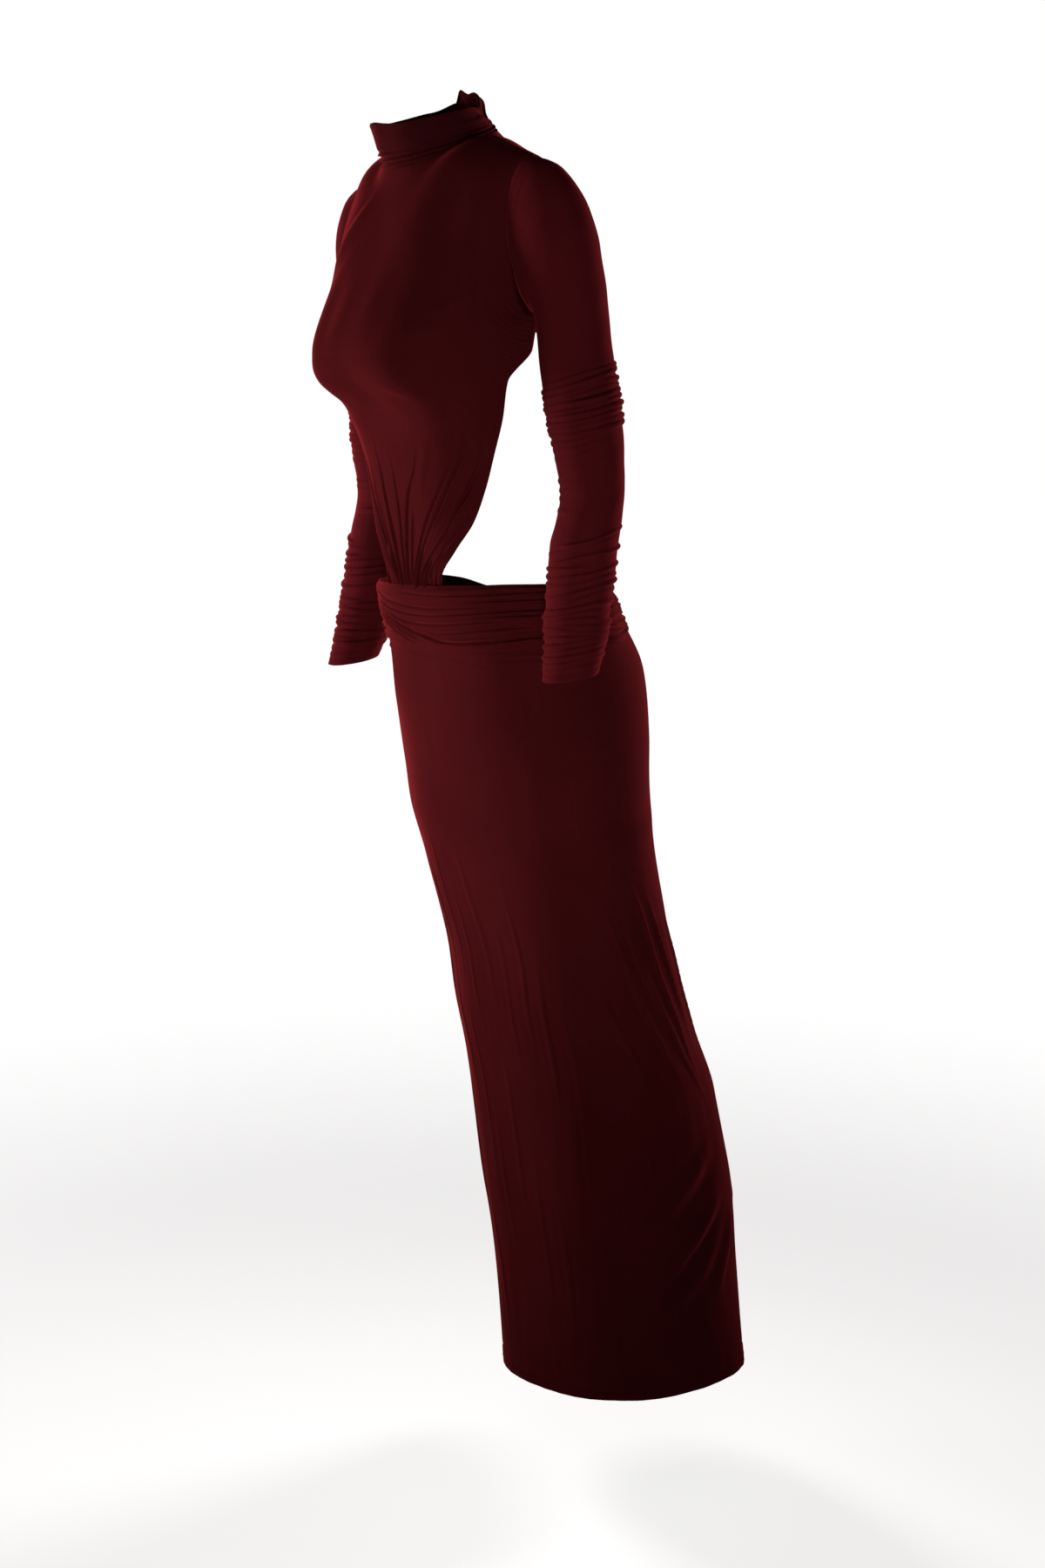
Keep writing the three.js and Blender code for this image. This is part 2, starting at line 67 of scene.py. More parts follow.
Points = np.ndarray
Path = tuple[tuple[float, float], ...]
Tree = bpy.types.NodeTree
Socket = bpy.types.NodeSocket


# Small curves


def mix(a: Points | float, b: Points | float, t: Points | float) -> Points:
    """Blend of a and b, t being the share of b."""
    return a + (np.asarray(b) - a) * t


def clamp01(t: Points | float) -> Points:
    """t held between 0 and 1."""
    return np.clip(t, 0.0, 1.0)


def ease(t: Points | float) -> Points:
    """Smooth step from 0 to 1."""
    t = clamp01(t)
    return t * t * (3.0 - 2.0 * t)


def bump(distance: Points, width: Points | float) -> Points:
    """Soft bell, 1 at distance 0."""
    return np.exp(-((distance / width) ** 2))


def signed(turn: Points) -> Points:
    """Degrees brought to the range -180 to 180."""
    return (np.asarray(turn) + 180.0) % 360.0 - 180.0


def stack(x: Points, y: Points, z: Points) -> Points:
    """Points from their three coordinates."""
    return np.stack(np.broadcast_arrays(x, y, z), axis=-1)


def ripple(a: Points, b: Points, seed: int, size: float, count: int = 7) -> Points:
    """Gentle unevenness of hanging cloth.

    Args:
        a: Place across the cloth, mm.
        b: Place along the cloth, mm.
        seed: Picks one fixed set of waves.
        size: Mean wavelength, mm.
        count: Number of waves added together.

    Returns:
        Heights with a spread of about 1.
    """
    rng = np.random.default_rng(seed)
    total = np.zeros(np.broadcast(a, b).shape)
    for _ in range(count):
        heading = rng.uniform(0, math.pi)
        length = size * rng.uniform(0.6, 1.7)
        phase = rng.uniform(0, 2 * math.pi)
        way = a * math.cos(heading) + b * math.sin(heading)
        total = total + np.sin(way * 2 * math.pi / length + phase)
    return total / math.sqrt(count)


@dataclass(frozen=True)
class Uneven:
    """Gentle unevenness of one piece.

    Attributes:
        rise: Height, mm.
        seed: Picks one fixed set of waves.
        size: Mean wavelength, mm.
    """

    rise: float
    seed: int
    size: float

    def at(self, a: Points, b: Points) -> Points:
        """Height at a place across and along the cloth, mm."""
        return self.rise * ripple(a, b, self.seed, self.size)


def spaced(*zones: tuple[float, float]) -> Points:
    """Places that lie closer together where the cloth has more detail.

    Args:
        *zones: Start of each zone with its step; the last one is the end, its step unused.

    Returns:
        Places from the first start to the end.
    """
    ends = np.array([z[0] for z in zones], float)
    counts = [abs(ends[k + 1] - ends[k]) / zones[k][1] for k in range(len(zones) - 1)]
    run = np.concatenate([[0.0], np.cumsum(counts)])
    return np.interp(np.linspace(0, run[-1], int(round(run[-1])) + 1), run, ends)


def hem_step(distance: Points, depth: float, fall: float, thick: float = 0.5) -> Points:
    """Extra height of a turned hem.

    Args:
        distance: Distance from the cloth's edge, mm.
        depth: Depth of the hem, mm.
        fall: Distance over which its edge falls away, mm.
        thick: Height of the step, mm.

    Returns:
        Heights, mm.
    """
    return thick * (1 - ease((distance - depth) / fall))


def relax(points: Points, share: Points, passes: int) -> Points:
    """Evens out creases across a sheet.

    Args:
        points: Grid, (rows, columns, 3), mm.
        share: How freely each point gives way, 0 to 1, (rows, columns).
        passes: Number of passes.

    Returns:
        The smoother grid, its side edges kept.
    """
    out = points.copy()
    for _ in range(passes):
        middle = (out[:, :-2] + out[:, 2:]) / 2
        out[:, 1:-1] += (middle - out[:, 1:-1]) * 0.5 * share[:, 1:-1, None]
    return out


@dataclass(frozen=True)
class Profile:
    """Sizes at a few levels, joined by smooth curves with no overshoot.

    Attributes:
        names: Column names; the first is the key.
        rows: One row a level.
    """

    names: tuple[str, ...]
    rows: tuple[tuple[float, ...], ...]

    def at(self, name: str, key: Points) -> Points:
        """Size named `name` at the key.

        Args:
            name: Column to read.
            key: Where, in the first column's unit.

        Returns:
            The size, with the key's shape.
        """
        data = np.array(sorted(self.rows), float)
        x, y = data[:, 0], data[:, self.names.index(name)]
        slope = np.diff(y) / np.diff(x)
        before, after = slope[:-1], slope[1:]
        same = before * after > 0
        inner = np.where(same, 2 * before * after / np.where(same, before + after, 1.0), 0.0)
        tangent = np.concatenate([slope[:1], inner, slope[-1:]])
        k = np.asarray(key, float)
        i = np.clip(np.searchsorted(x, k) - 1, 0, len(x) - 2)
        step = x[i + 1] - x[i]
        t = clamp01((k - x[i]) / step)
        s = 1 - t
        flat = y[i] * s * s * (1 + 2 * t) + y[i + 1] * t * t * (3 - 2 * t)
        return flat + step * t * s * (s * tangent[i] - t * tangent[i + 1])


# Folds


@dataclass(frozen=True)
class Fold:
    """One soft ridge or trough of the cloth.

    Attributes:
        path: Points it passes through, in the piece's own coordinates.
        width: Half width, mm.
        rise: Height, mm; below 0 it is a trough.
        lean: How much steeper one flank is, -0.8 to 0.8.
        fade_in: Share of the path over which it grows.
        fade_out: Share of the path over which it dies away.
        hollow: Share of the height that the cloth gives up beside the fold.
    """

    path: Path
    width: float
    rise: float
    lean: float = 0.0
    fade_in: float = 0.3
    fade_out: float = 0.3
    hollow: float = 0.25

    def smooth_path(self, scale: tuple[float, float]) -> Points:
        """Path as a rounded polyline in mm.

        Args:
            scale: Millimetres for one unit of each coordinate.

        Returns:
            Points (n, 2).
        """
        p = np.array(self.path, float) * np.array(scale)
        if len(p) == 2:
            return p[0] + (p[1] - p[0]) * np.linspace(0, 1, 3)[:, None]
        ends = np.vstack([2 * p[0] - p[1], p, 2 * p[-1] - p[-2]])
        out = []
        for k in range(1, len(ends) - 2):
            a, b, c, d = ends[k - 1 : k + 3]
            for t in np.linspace(0, 1, 5)[:-1]:
                out.append(
                    0.5
                    * (
                        2 * b
                        + (c - a) * t
                        + (2 * a - 5 * b + 4 * c - d) * t * t
                        + (3 * b - a - 3 * c + d) * t**3
                    )
                )
        out.append(p[-1])
        return np.array(out)

    def height(self, a: Points, b: Points, scale: tuple[float, float]) -> Points:
        """How far the fold stands out over the cloth.

        Args:
            a: First coordinate of each point, already in mm.
            b: Second coordinate, in mm.
            scale: Millimetres for one unit of each coordinate of the path.

        Returns:
            Height at each point, mm.
        """
        line = self.smooth_path(scale)
        reach = 3.2 * self.width
        low, high = line.min(0) - reach, line.max(0) + reach
        near = (a > low[0]) & (a < high[0]) & (b > low[1]) & (b < high[1])
        out = np.zeros(a.shape)
        if not near.any():
            return out
        x, y = a[near], b[near]
        step = np.diff(line, axis=0)
        length = np.maximum(np.hypot(step[:, 0], step[:, 1]), 1e-6)
        run = np.concatenate([[0.0], np.cumsum(length)])
        best = np.full(x.shape, 1e9)
        side = np.zeros(x.shape)
        place = np.zeros(x.shape)
        for k, (dx, dy) in enumerate(step):
            px, py = x - line[k, 0], y - line[k, 1]
            t = clamp01((px * dx + py * dy) / length[k] ** 2)
            ox, oy = px - dx * t, py - dy * t
            d = np.hypot(ox, oy)
            closer = d < best
            best = np.where(closer, d, best)
            side = np.where(closer, np.sign(dx * oy - dy * ox), side)
            place = np.where(closer, (run[k] + t * length[k]) / run[-1], place)
        away = best / (self.width * (1 + self.lean * side))
        shape = np.exp(-(away**2)) - self.hollow * np.exp(-(((away - 1.75) / 0.75) ** 2))
        grow = ease(place / max(self.fade_in, 1e-3)) * ease((1 - place) / max(self.fade_out, 1e-3))
        out[near] = self.rise * shape * grow
        return out


def fold_height(
    folds: tuple[Fold, ...], a: Points, b: Points, scale: tuple[float, float] = (1, 1)
) -> Points:
    """Sum of the folds at each point.

    Args:
        folds: Folds of one piece.
        a: First coordinate, in the piece's unit.
        b: Second coordinate, in the piece's unit.
        scale: Millimetres for one unit of each.

    Returns:
        Heights, mm.
    """
    am, bm = np.asarray(a) * scale[0], np.asarray(b) * scale[1]
    total = np.zeros(np.broadcast(am, bm).shape)
    am, bm = np.broadcast_arrays(am, bm)
    for fold in folds:
        total = total + fold.height(am, bm, scale)
    return total


def folds_around(folds: tuple[Fold, ...], turn: Points, z: Points) -> Points:
    """Sum of the folds round the hips, whose paths may run on past the centre back.

    Args:
        folds: Folds with paths in degrees and mm.
        turn: Degrees from the centre front.
        z: Level, mm.

    Returns:
        Heights, mm.
    """
    rise = np.zeros(z.shape)
    for shift in (-360.0, 0.0, 360.0):
        rise = rise + fold_height(folds, turn + shift, z, (PER_TURN, 1))
    return rise


# Finishes


def linear(hexa: str) -> tuple[float, float, float, float]:
    """Linear colour of an sRGB hex value.

    Args:
        hexa: Six hex digits.

    Returns:
        Red, green, blue and alpha.
    """
    parts = [int(hexa[k : k + 2], 16) / 255 for k in (0, 2, 4)]
    lit = [c / 12.92 if c <= 0.04045 else ((c + 0.055) / 1.055) ** 2.4 for c in parts]
    return (lit[0], lit[1], lit[2], 1.0)


def add_node(tree: Tree, kind: str, inputs: dict | None = None, **settings: object) -> bpy.types.Node:
    """One node with its settings, values and links.

    Args:
        tree: Tree that the node joins.
        kind: Blender's name for the node.
        inputs: Socket name or index to a value or to the output socket that feeds it.
        **settings: Properties of the node.

    Returns:
        The node.
    """
    node = tree.nodes.new(kind)
    for key, value in settings.items():
        setattr(node, key, value)
    for key, value in (inputs or {}).items():
        if isinstance(value, Socket):
            tree.links.new(value, node.inputs[key])
        else:
            node.inputs[key].default_value = value
    return node


def blank(name: str) -> tuple[bpy.types.Material, Tree]:
    """Starts a material.

    Args:
        name: Its name.

    Returns:
        The material and its empty node tree.
    """
    material = bpy.data.materials.new(name)
    material.use_nodes = True
    material.node_tree.nodes.clear()
    return material, material.node_tree


def noise(tree: Tree, vector: Socket, scale: float, detail: float = 2.0) -> Socket:
    """Noise texture along a vector."""
    inputs = {"Vector": vector, "Scale": scale, "Detail": detail}
    return add_node(tree, "ShaderNodeTexNoise", inputs).outputs["Fac"]


def wave(tree: Tree, vector: Socket, scale: float, way: str, distortion: float, detail: float) -> Socket:
    """Band texture across one way of a vector."""
    inputs = {"Vector": vector, "Scale": scale, "Distortion": distortion, "Detail": detail}
    return add_node(tree, "ShaderNodeTexWave", inputs, bands_direction=way).outputs["Fac"]


def combine(tree: Tree, operation: str, *values: Socket | float) -> Socket:
    """Sum or product of numbers."""
    return add_node(tree, "ShaderNodeMath", dict(enumerate(values)), operation=operation).outputs[0]


def scaled(tree: Tree, vector: Socket, by: tuple[float, float, float]) -> Socket:
    """Vector multiplied axis by axis."""
    return add_node(tree, "ShaderNodeVectorMath", {0: vector, 1: by}, operation="MULTIPLY").outputs[0]


def span(
    tree: Tree, value: Socket, given: tuple[float, float], wanted: tuple[float, float], **settings: str
) -> Socket:
    """Value brought from one range to another.

    Args:
        tree: Tree that the node joins.
        value: Socket with the value.
        given: Range that it comes in.
        wanted: Range that it leaves in.
        **settings: Properties of the node.

    Returns:
        Socket with the new value.
    """
    names = ("From Min", "From Max", "To Min", "To Max")
    inputs = {"Value": value, **dict(zip(names, given + wanted))}
    return add_node(tree, "ShaderNodeMapRange", inputs, **settings).outputs[0]


def ramp(tree: Tree, factor: Socket, low: str, high: str) -> Socket:
    """Colour between two hex values.

    Args:
        tree: Tree that the node joins.
        factor: Share of the second colour.
        low: Hex value at 0.
        high: Hex value at 1.

    Returns:
        Socket with the colour.
    """
    node = add_node(tree, "ShaderNodeValToRGB", {"Fac": factor})
    for element, colour in zip(node.color_ramp.elements, (low, high)):
        element.color = linear(colour)
    return node.outputs["Color"]


def surface(tree: Tree, inputs: dict) -> None:
    """Closes a material's tree with its surface and output."""
    shader = add_node(tree, "ShaderNodeBsdfPrincipled", inputs)
    add_node(tree, "ShaderNodeOutputMaterial", {"Surface": shader.outputs[0]})


@dataclass(frozen=True)
class Jersey:
    """Fine single jersey, viscose with elastane: matt, soft, a faint sheen where it turns away.

    Attributes:
        name: Material name.
        deep: Colour in the hollows of the knit, a painted shade, and of the darker dye streaks.
        lit: Colour on the crowns of the knit, a painted light, and of the lighter dye streaks.
        wale: Knit pitch, mm. Real jersey has about 0.5; it is drawn at 1.1 so that it can show.
        squat: Height of a stitch to its width.
        relief: Depth of the knit's relief, mm.
        sheen: Strength of the sheen.
        tint: Colour of the sheen.
        rough: Roughness.
        worn: How much the tone and the roughness vary over the cloth.
    """

    name: str
    deep: str = "350b0d"
    lit: str = "451013"
    wale: float = 1.1
    relief: float = 0.05
    sheen: float = 0.17
    tint: str = "f0484a"
    rough: float = 0.78
    squat: float = 0.8
    worn: float = 0.08

    def build(self) -> bpy.types.Material:
        """Draws the knit over the piece's own map, which runs along the cloth in metres.

        Returns:
            The material.
        """
        material, tree = blank(self.name)
        cloth = add_node(tree, "ShaderNodeUVMap", uv_map="cloth").outputs[0]
        place = add_node(tree, "ShaderNodeTexCoord").outputs["Object"]
        grain = scaled(tree, cloth, (1000.0, 1000.0, 1.0))
        wales = wave(tree, grain, WAVE_UNIT / self.wale, "X", 0.6, 1.0)
        courses = wave(tree, grain, WAVE_UNIT / (self.wale * self.squat), "Y", 0.8, 1.0)
        knit = combine(tree, "MULTIPLY", wales, courses)
        fuzz = noise(tree, grain, 0.9)
        patches = noise(tree, place, 9.0)
        # long faint streaks along the wales, as yarn of uneven dye gives
        streaks = noise(tree, scaled(tree, grain, (0.35, 0.02, 1.0)), 1.0, 1.0)
        tone = combine(tree, "MULTIPLY_ADD", streaks, 0.5, knit)
        uneven = span(tree, patches, (0.3, 0.7), (1 - self.worn, 1 + self.worn))
        # the ramp paints the knit's hollows in painted shade and its crowns in painted light, over streaks of
        # uneven dye
        dyed = {"Color": ramp(tree, tone, self.deep, self.lit), "Value": uneven}
        height = combine(tree, "MULTIPLY_ADD", fuzz, 0.5, knit)
        depth = {"Height": height, "Strength": 0.5, "Distance": self.relief / 1000.0}
        inputs = {
            "Base Color": add_node(tree, "ShaderNodeHueSaturation", dyed).outputs[0],
            "Roughness": span(tree, fuzz, (0.0, 1.0), (self.rough - self.worn, self.rough + self.worn)),
            "Normal": add_node(tree, "ShaderNodeBump", depth).outputs[0],
            "Specular IOR Level": 0.0,
            "Sheen Weight": self.sheen,
            "Sheen Roughness": 0.3,
            "Sheen Tint": linear(self.tint),
        }
        surface(tree, inputs)
        return material


@dataclass(frozen=True)
class Thread:
    """Spun polyester sewing thread, dyed to match: a little smoother and lighter than the cloth.

    Attributes:
        name: Material name.
        deep: Colour between the plies, a painted shade.
        lit: Colour on the plies, a painted light.
        rough: Roughness.
    """

    name: str = "spun_polyester_thread"
    deep: str = "33080a"
    lit: str = "420c0f"
    rough: float = 0.8

    def build(self) -> bpy.types.Material:
        """Draws the twist of the thread as fine bands.

        Returns:
            The material.
        """
        material, tree = blank(self.name)
        place = add_node(tree, "ShaderNodeTexCoord").outputs["Object"]
        twist = wave(tree, place, 500.0, "DIAGONAL", 1.0, 2.0)
        # the bands paint the hollows between the plies in painted shade
        colour = ramp(tree, twist, self.deep, self.lit)
        surface(tree, {"Base Color": colour, "Roughness": self.rough, "Specular IOR Level": 0.0})
        return material


# Cloth walls


def lean(points: Points) -> Points:
    """Leans the upright dress into the row frame.

    Args:
        points: Points of the upright dress, mm.

    Returns:
        Points in the row frame, metres.
    """
    cf, sf = math.cos(LEAN_FORWARD * RAD), math.sin(LEAN_FORWARD * RAD)
    cr, sr = math.cos(-LEAN_RIGHT * RAD), math.sin(-LEAN_RIGHT * RAD)
    x, y, z = points[..., 0], points[..., 1], points[..., 2]
    y, z = y * cf - z * sf, y * sf + z * cf
    x, z = x * cr + z * sr, -x * sr + z * cr
    return np.stack([x, y, z], axis=-1) / 1000.0


@dataclass
class Sheet:
    """Grid of cloth points with all that a mesh needs.

    Attributes:
        base: Smooth surface, (rows, columns, 3), mm.
        rise: Height of the folds over it, mm.
        chart: Place on the flat cloth, (rows, columns, 2), metres; one more column when closed.
        closed: The last column joins the first.
        wall: Thickness of the cloth, mm.
    """

    base: Points
    rise: Points
    chart: Points
    closed: bool
    wall: float
    normals: Points = field(init=False)
    outer: Points = field(init=False)
    inner: Points = field(init=False)

    def __post_init__(self) -> None:
        """Finds the normals and both faces of the cloth."""
        p = self.base
        if self.closed:
            across = np.roll(p, -1, axis=1) - np.roll(p, 1, axis=1)
        else:
            across = np.gradient(p, axis=1)
        along = np.gradient(p, axis=0)
        n = np.cross(across, along)
        n /= np.maximum(np.linalg.norm(n, axis=-1, keepdims=True), 1e-9)
        if (n * (p - p.reshape(-1, 3).mean(0))).sum() < 0:
            n = -n
        self.normals = n
        self.outer = p + n * self.rise[..., None]
        self.inner = self.outer - n * self.wall

    def line(self, row: int | None = None, column: int | None = None) -> Points:
        """Points along one row or column, just over the cloth.

        Args:
            row: Row to follow.
            column: Column to follow.

        Returns:
            Points (n, 3), mm.
        """
        shown = self.outer + self.normals * THREAD_LIFT
        if row is not None:
            line = shown[row]
            return np.vstack([line, line[:1]]) if self.closed else line
        return shown[:, column]

    def mesh(self, name: str, material: bpy.types.Material) -> bpy.types.Object:
        """Closed thin wall as an object in the row frame.

        Args:
            name: Object name.
            material: Its finish.

        Returns:
            The new object.
        """
        rows, columns = self.base.shape[:2]
        count = rows * columns
        points = np.concatenate([lean(self.outer).reshape(-1, 3), lean(self.inner).reshape(-1, 3)])
        cells = columns if self.closed else columns - 1
        i, j = np.meshgrid(np.arange(cells), np.arange(rows - 1))
        i, j = i.ravel(), j.ravel()
        k = (i + 1) % columns
        a, b, c, d = j * columns + i, j * columns + k, (j + 1) * columns + k, (j + 1) * columns + i
        faces = [np.stack([a, b, c, d], 1), np.stack([a, d, c, b], 1) + count]
        marks = [
            np.stack([j, i, j, i + 1, j + 1, i + 1, j + 1, i], 1),
            np.stack([j, i, j + 1, i, j + 1, i + 1, j, i + 1], 1),
        ]
        e = np.arange(cells)
        f = (e + 1) % columns
        for row, turned in ((0, False), (rows - 1, True)):
            s, t = row * columns + e, row * columns + f
            ring = [s, s + count, t + count, t] if not turned else [s, t, t + count, s + count]
            spots = [e, e, e + 1, e + 1] if not turned else [e, e + 1, e + 1, e]
            faces.append(np.stack(ring, 1))
            marks.append(np.stack([v for q in spots for v in (np.full_like(q, row), q)], 1))
        if not self.closed:
            r = np.arange(rows - 1)
            for col, turned in ((0, False), (columns - 1, True)):
                s, t = r * columns + col, (r + 1) * columns + col
                ring = [s, t, t + count, s + count] if not turned else [s, s + count, t + count, t]
                spots = [r, r + 1, r + 1, r] if not turned else [r, r, r + 1, r + 1]
                faces.append(np.stack(ring, 1))
                marks.append(np.stack([v for q in spots for v in (q, np.full_like(q, col))], 1))
        quads = np.concatenate(faces)
        spots = np.concatenate(marks).reshape(-1, 4, 2)
        first = points[quads[0]]
        out = lean(self.outer + self.normals)[0, 0] - lean(self.outer)[0, 0]
        if np.cross(first[1] - first[0], first[2] - first[0]) @ out < 0:
            quads, spots = quads[:, ::-1], spots[:, ::-1]
        mesh = bpy.data.meshes.new(name)
        mesh.from_pydata(points.tolist(), [], quads.tolist())
        layer = mesh.uv_layers.new(name="cloth")
        chart = self.chart[spots[..., 0], spots[..., 1]]
        layer.data.foreach_set("uv", chart.reshape(-1).astype(np.float32))
        mesh.shade_smooth()
        mesh.materials.append(material)
        piece = bpy.data.objects.new(name, mesh)
        bpy.context.scene.collection.objects.link(piece)
        return piece


class Held(Enum):
    """How a piece of cloth is held up."""

    STRETCHED = "stretched"
    GATHERED = "gathered"
    DRAPED = "draped"
    HUNG = "hung"


@dataclass(frozen=True)
class Cut:
    """Flat cut of a piece.

    Attributes:
        width: Across the cloth, metres, all round on a tube.
        length: Along the cloth, metres.
        area: Flat area, square metres, where it isn't a rectangle; not used.
        held: How it is held; not used.
    """

    width: float
    length: float
    held: Held
    area: float | None = None


class Panel:
    """A piece of the dress, which is drawn as a grid and meshed.

    Attributes:
        title: Object name.
        nodes: Solids that it stands for.
        slot: The record's material slot.
        rests_on: Names of the pieces that carry it.
        cut: Flat cut.
    """

    title: ClassVar[str]
    nodes: ClassVar[tuple[str, ...]]
    slot: ClassVar[str]
    rests_on: ClassVar[tuple[str, ...]]
    cut: Cut

    def sheet(self) -> Sheet:
        """Cloth grid of the piece."""
        raise NotImplementedError

    def build(self, material: bpy.types.Material) -> Sheet:
        """Makes the object, hides the solids that it stands for and hangs it under the root.

        Args:
            material: Its finish.

        Returns:
            The grid.
        """
        sheet = self.sheet()
        piece = sheet.mesh(self.title, material)
        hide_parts(*self.nodes)
        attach(piece, "root")
        list(self.rests_on)
        LOG.info("%s: %d faces", piece.name, len(piece.data.polygons))
        return sheet


# Shoulders, shared by the bodice, the back and the collar


@dataclass(frozen=True)
class Shoulders:
    """Neck seam, armholes and the shoulder line between them."""

    neck_radius: float = 64
    neck_depth: float = 63
    neck_y: float = 9
    neck_z: float = 25
    neck_rise: float = 0.16
    hole_x: float = 142
    hole_y: float = 12
    hole_z: float = -79
    hole_half: float = 83
    hole_front: float = 38
    hole_back: float = 42
    hole_tilt: float = 0.1
    line_rise: float = 4
    neck_share: float = 0.42
    slope_lift: float = 8
    slope_x: float = 84
    slope_width: float = 28
    slope_low: float = -25
    slope_fade: float = 35
    turning: float = 3

    def neck(self, angle: Points, grow: float = 0.0) -> Points:
        """Neck seam at an angle.

        Args:
            angle: 0 to the left, a quarter turn to the back, radians.
            grow: Distance out from the seam, mm.

        Returns:
            Points, mm.
        """
        x = (self.neck_radius + grow) * np.cos(angle)
        y = (self.neck_depth + grow) * np.sin(angle)
        return stack(x, self.neck_y + y, self.neck_z + self.neck_rise * y)

    def armhole(self, angle: Points, side: int) -> Points:
        """Armhole edge.

        Args:
            angle: 0 at the shoulder and pi under the arm, radians.
            side: 1 front, -1 back.

        Returns:
            Points of the left armhole, mm.
        """
        depth = self.hole_front if side > 0 else self.hole_back
        z = self.hole_half * np.cos(angle)
        y = self.hole_y - side * (SEAM + depth * np.sin(angle))
        return stack(self.hole_x + self.hole_tilt * z, y, self.hole_z + z)

    def line(self, part: Points, side: int) -> Points:
        """Upper edge of a panel.

        Args:
            part: 0 at the centre of the neck to 1 at the shoulder's end.
            side: 1 front, -1 back.

        Returns:
            Points on the left half, mm.
        """
        around = self.neck(-side * (math.pi / 2) * (1 - clamp01(part / self.neck_share)))
        t = clamp01((part - self.neck_share) / (1 - self.neck_share))[..., None]
        start = self.neck(np.zeros(np.shape(part)))
        out = start + (self.armhole(np.zeros(np.shape(part)), side) - start) * t
        out[..., 2] += self.line_rise * np.sin(math.pi * t[..., 0])
        shown = np.where(np.asarray(part)[..., None] < self.neck_share, around, out)
        shown[..., 1] -= np.where(np.asarray(part) < 1, side * SEAM, 0)
        return shown

    def slope(self, points: Points) -> None:
        """Lifts a panel in place so that it runs evenly from the neck to the shoulder.

        Args:
            points: Grid of the panel, mm.
        """
        lift = self.slope_lift * bump(np.abs(points[..., 0]) - self.slope_x, self.slope_width)
        points[..., 2] += lift * ease((points[..., 2] - self.slope_low) / self.slope_fade)

    def turn_in(self, points: Points, share: Points) -> None:
        """Turns a panel's armhole edges in place towards the middle of the armholes.

        Args:
            points: Grid of the panel, mm.
            share: How far each row turns in, 0 to 1.
        """
        for column in (0, -1):
            edge = points[:, column]
            inward = stack(0 * edge[:, 0], self.hole_y - edge[:, 1], self.hole_z - edge[:, 2])
            inward /= np.linalg.norm(inward, axis=-1, keepdims=True)
            points[:, column] += inward * self.turning * share[:, None]

    def panel(self, u: Points, t: Points, side: int, lower: Points, reach: tuple[float, float]) -> Points:
        """Cloth between the shoulder line and a lower line.

        Args:
            u: Place across, -1 right to 1 left.
            t: Place down, 0 to 1.
            side: 1 front, -1 back.
            lower: Lower line at the same places across, for the left half, (..., 3).
            reach: How firmly the cloth leaves the shoulder and falls to the lower line, mm.

        Returns:
            Points, mm.
        """
        part = np.abs(u)
        over, fall_by = reach

        def run(p: Points, low: Points) -> Points:
            """Point on the way from the shoulder line, at a part of it, to the lower line."""
            flat = ease(p / self.neck_share)
            leave = stack(np.zeros(p.shape), -side * mix(0.35, 1.0, flat), -mix(1.0, 0.06, flat)) * over
            fall = np.zeros(leave.shape)
            fall[..., 2] = -fall_by
            s = 1 - t
            start = self.line(p, side)
            return (
                start * (s * s * (1 + 2 * t))[..., None]
                + low * (t * t * (3 - 2 * t))[..., None]
                + leave * (t * s * s)[..., None]
                - fall * (t * t * s)[..., None]
            )

        point = run(part, lower)
        edge = np.broadcast_to(lower[..., -1:, :], lower.shape)
        pull = self.armhole(math.pi * t, side) - run(np.ones(part.shape), edge)
        point = point + pull * ease((part - 0.45) / 0.55)[..., None]
        point[..., 0] *= np.where(u < 0, -1, 1)
        return point


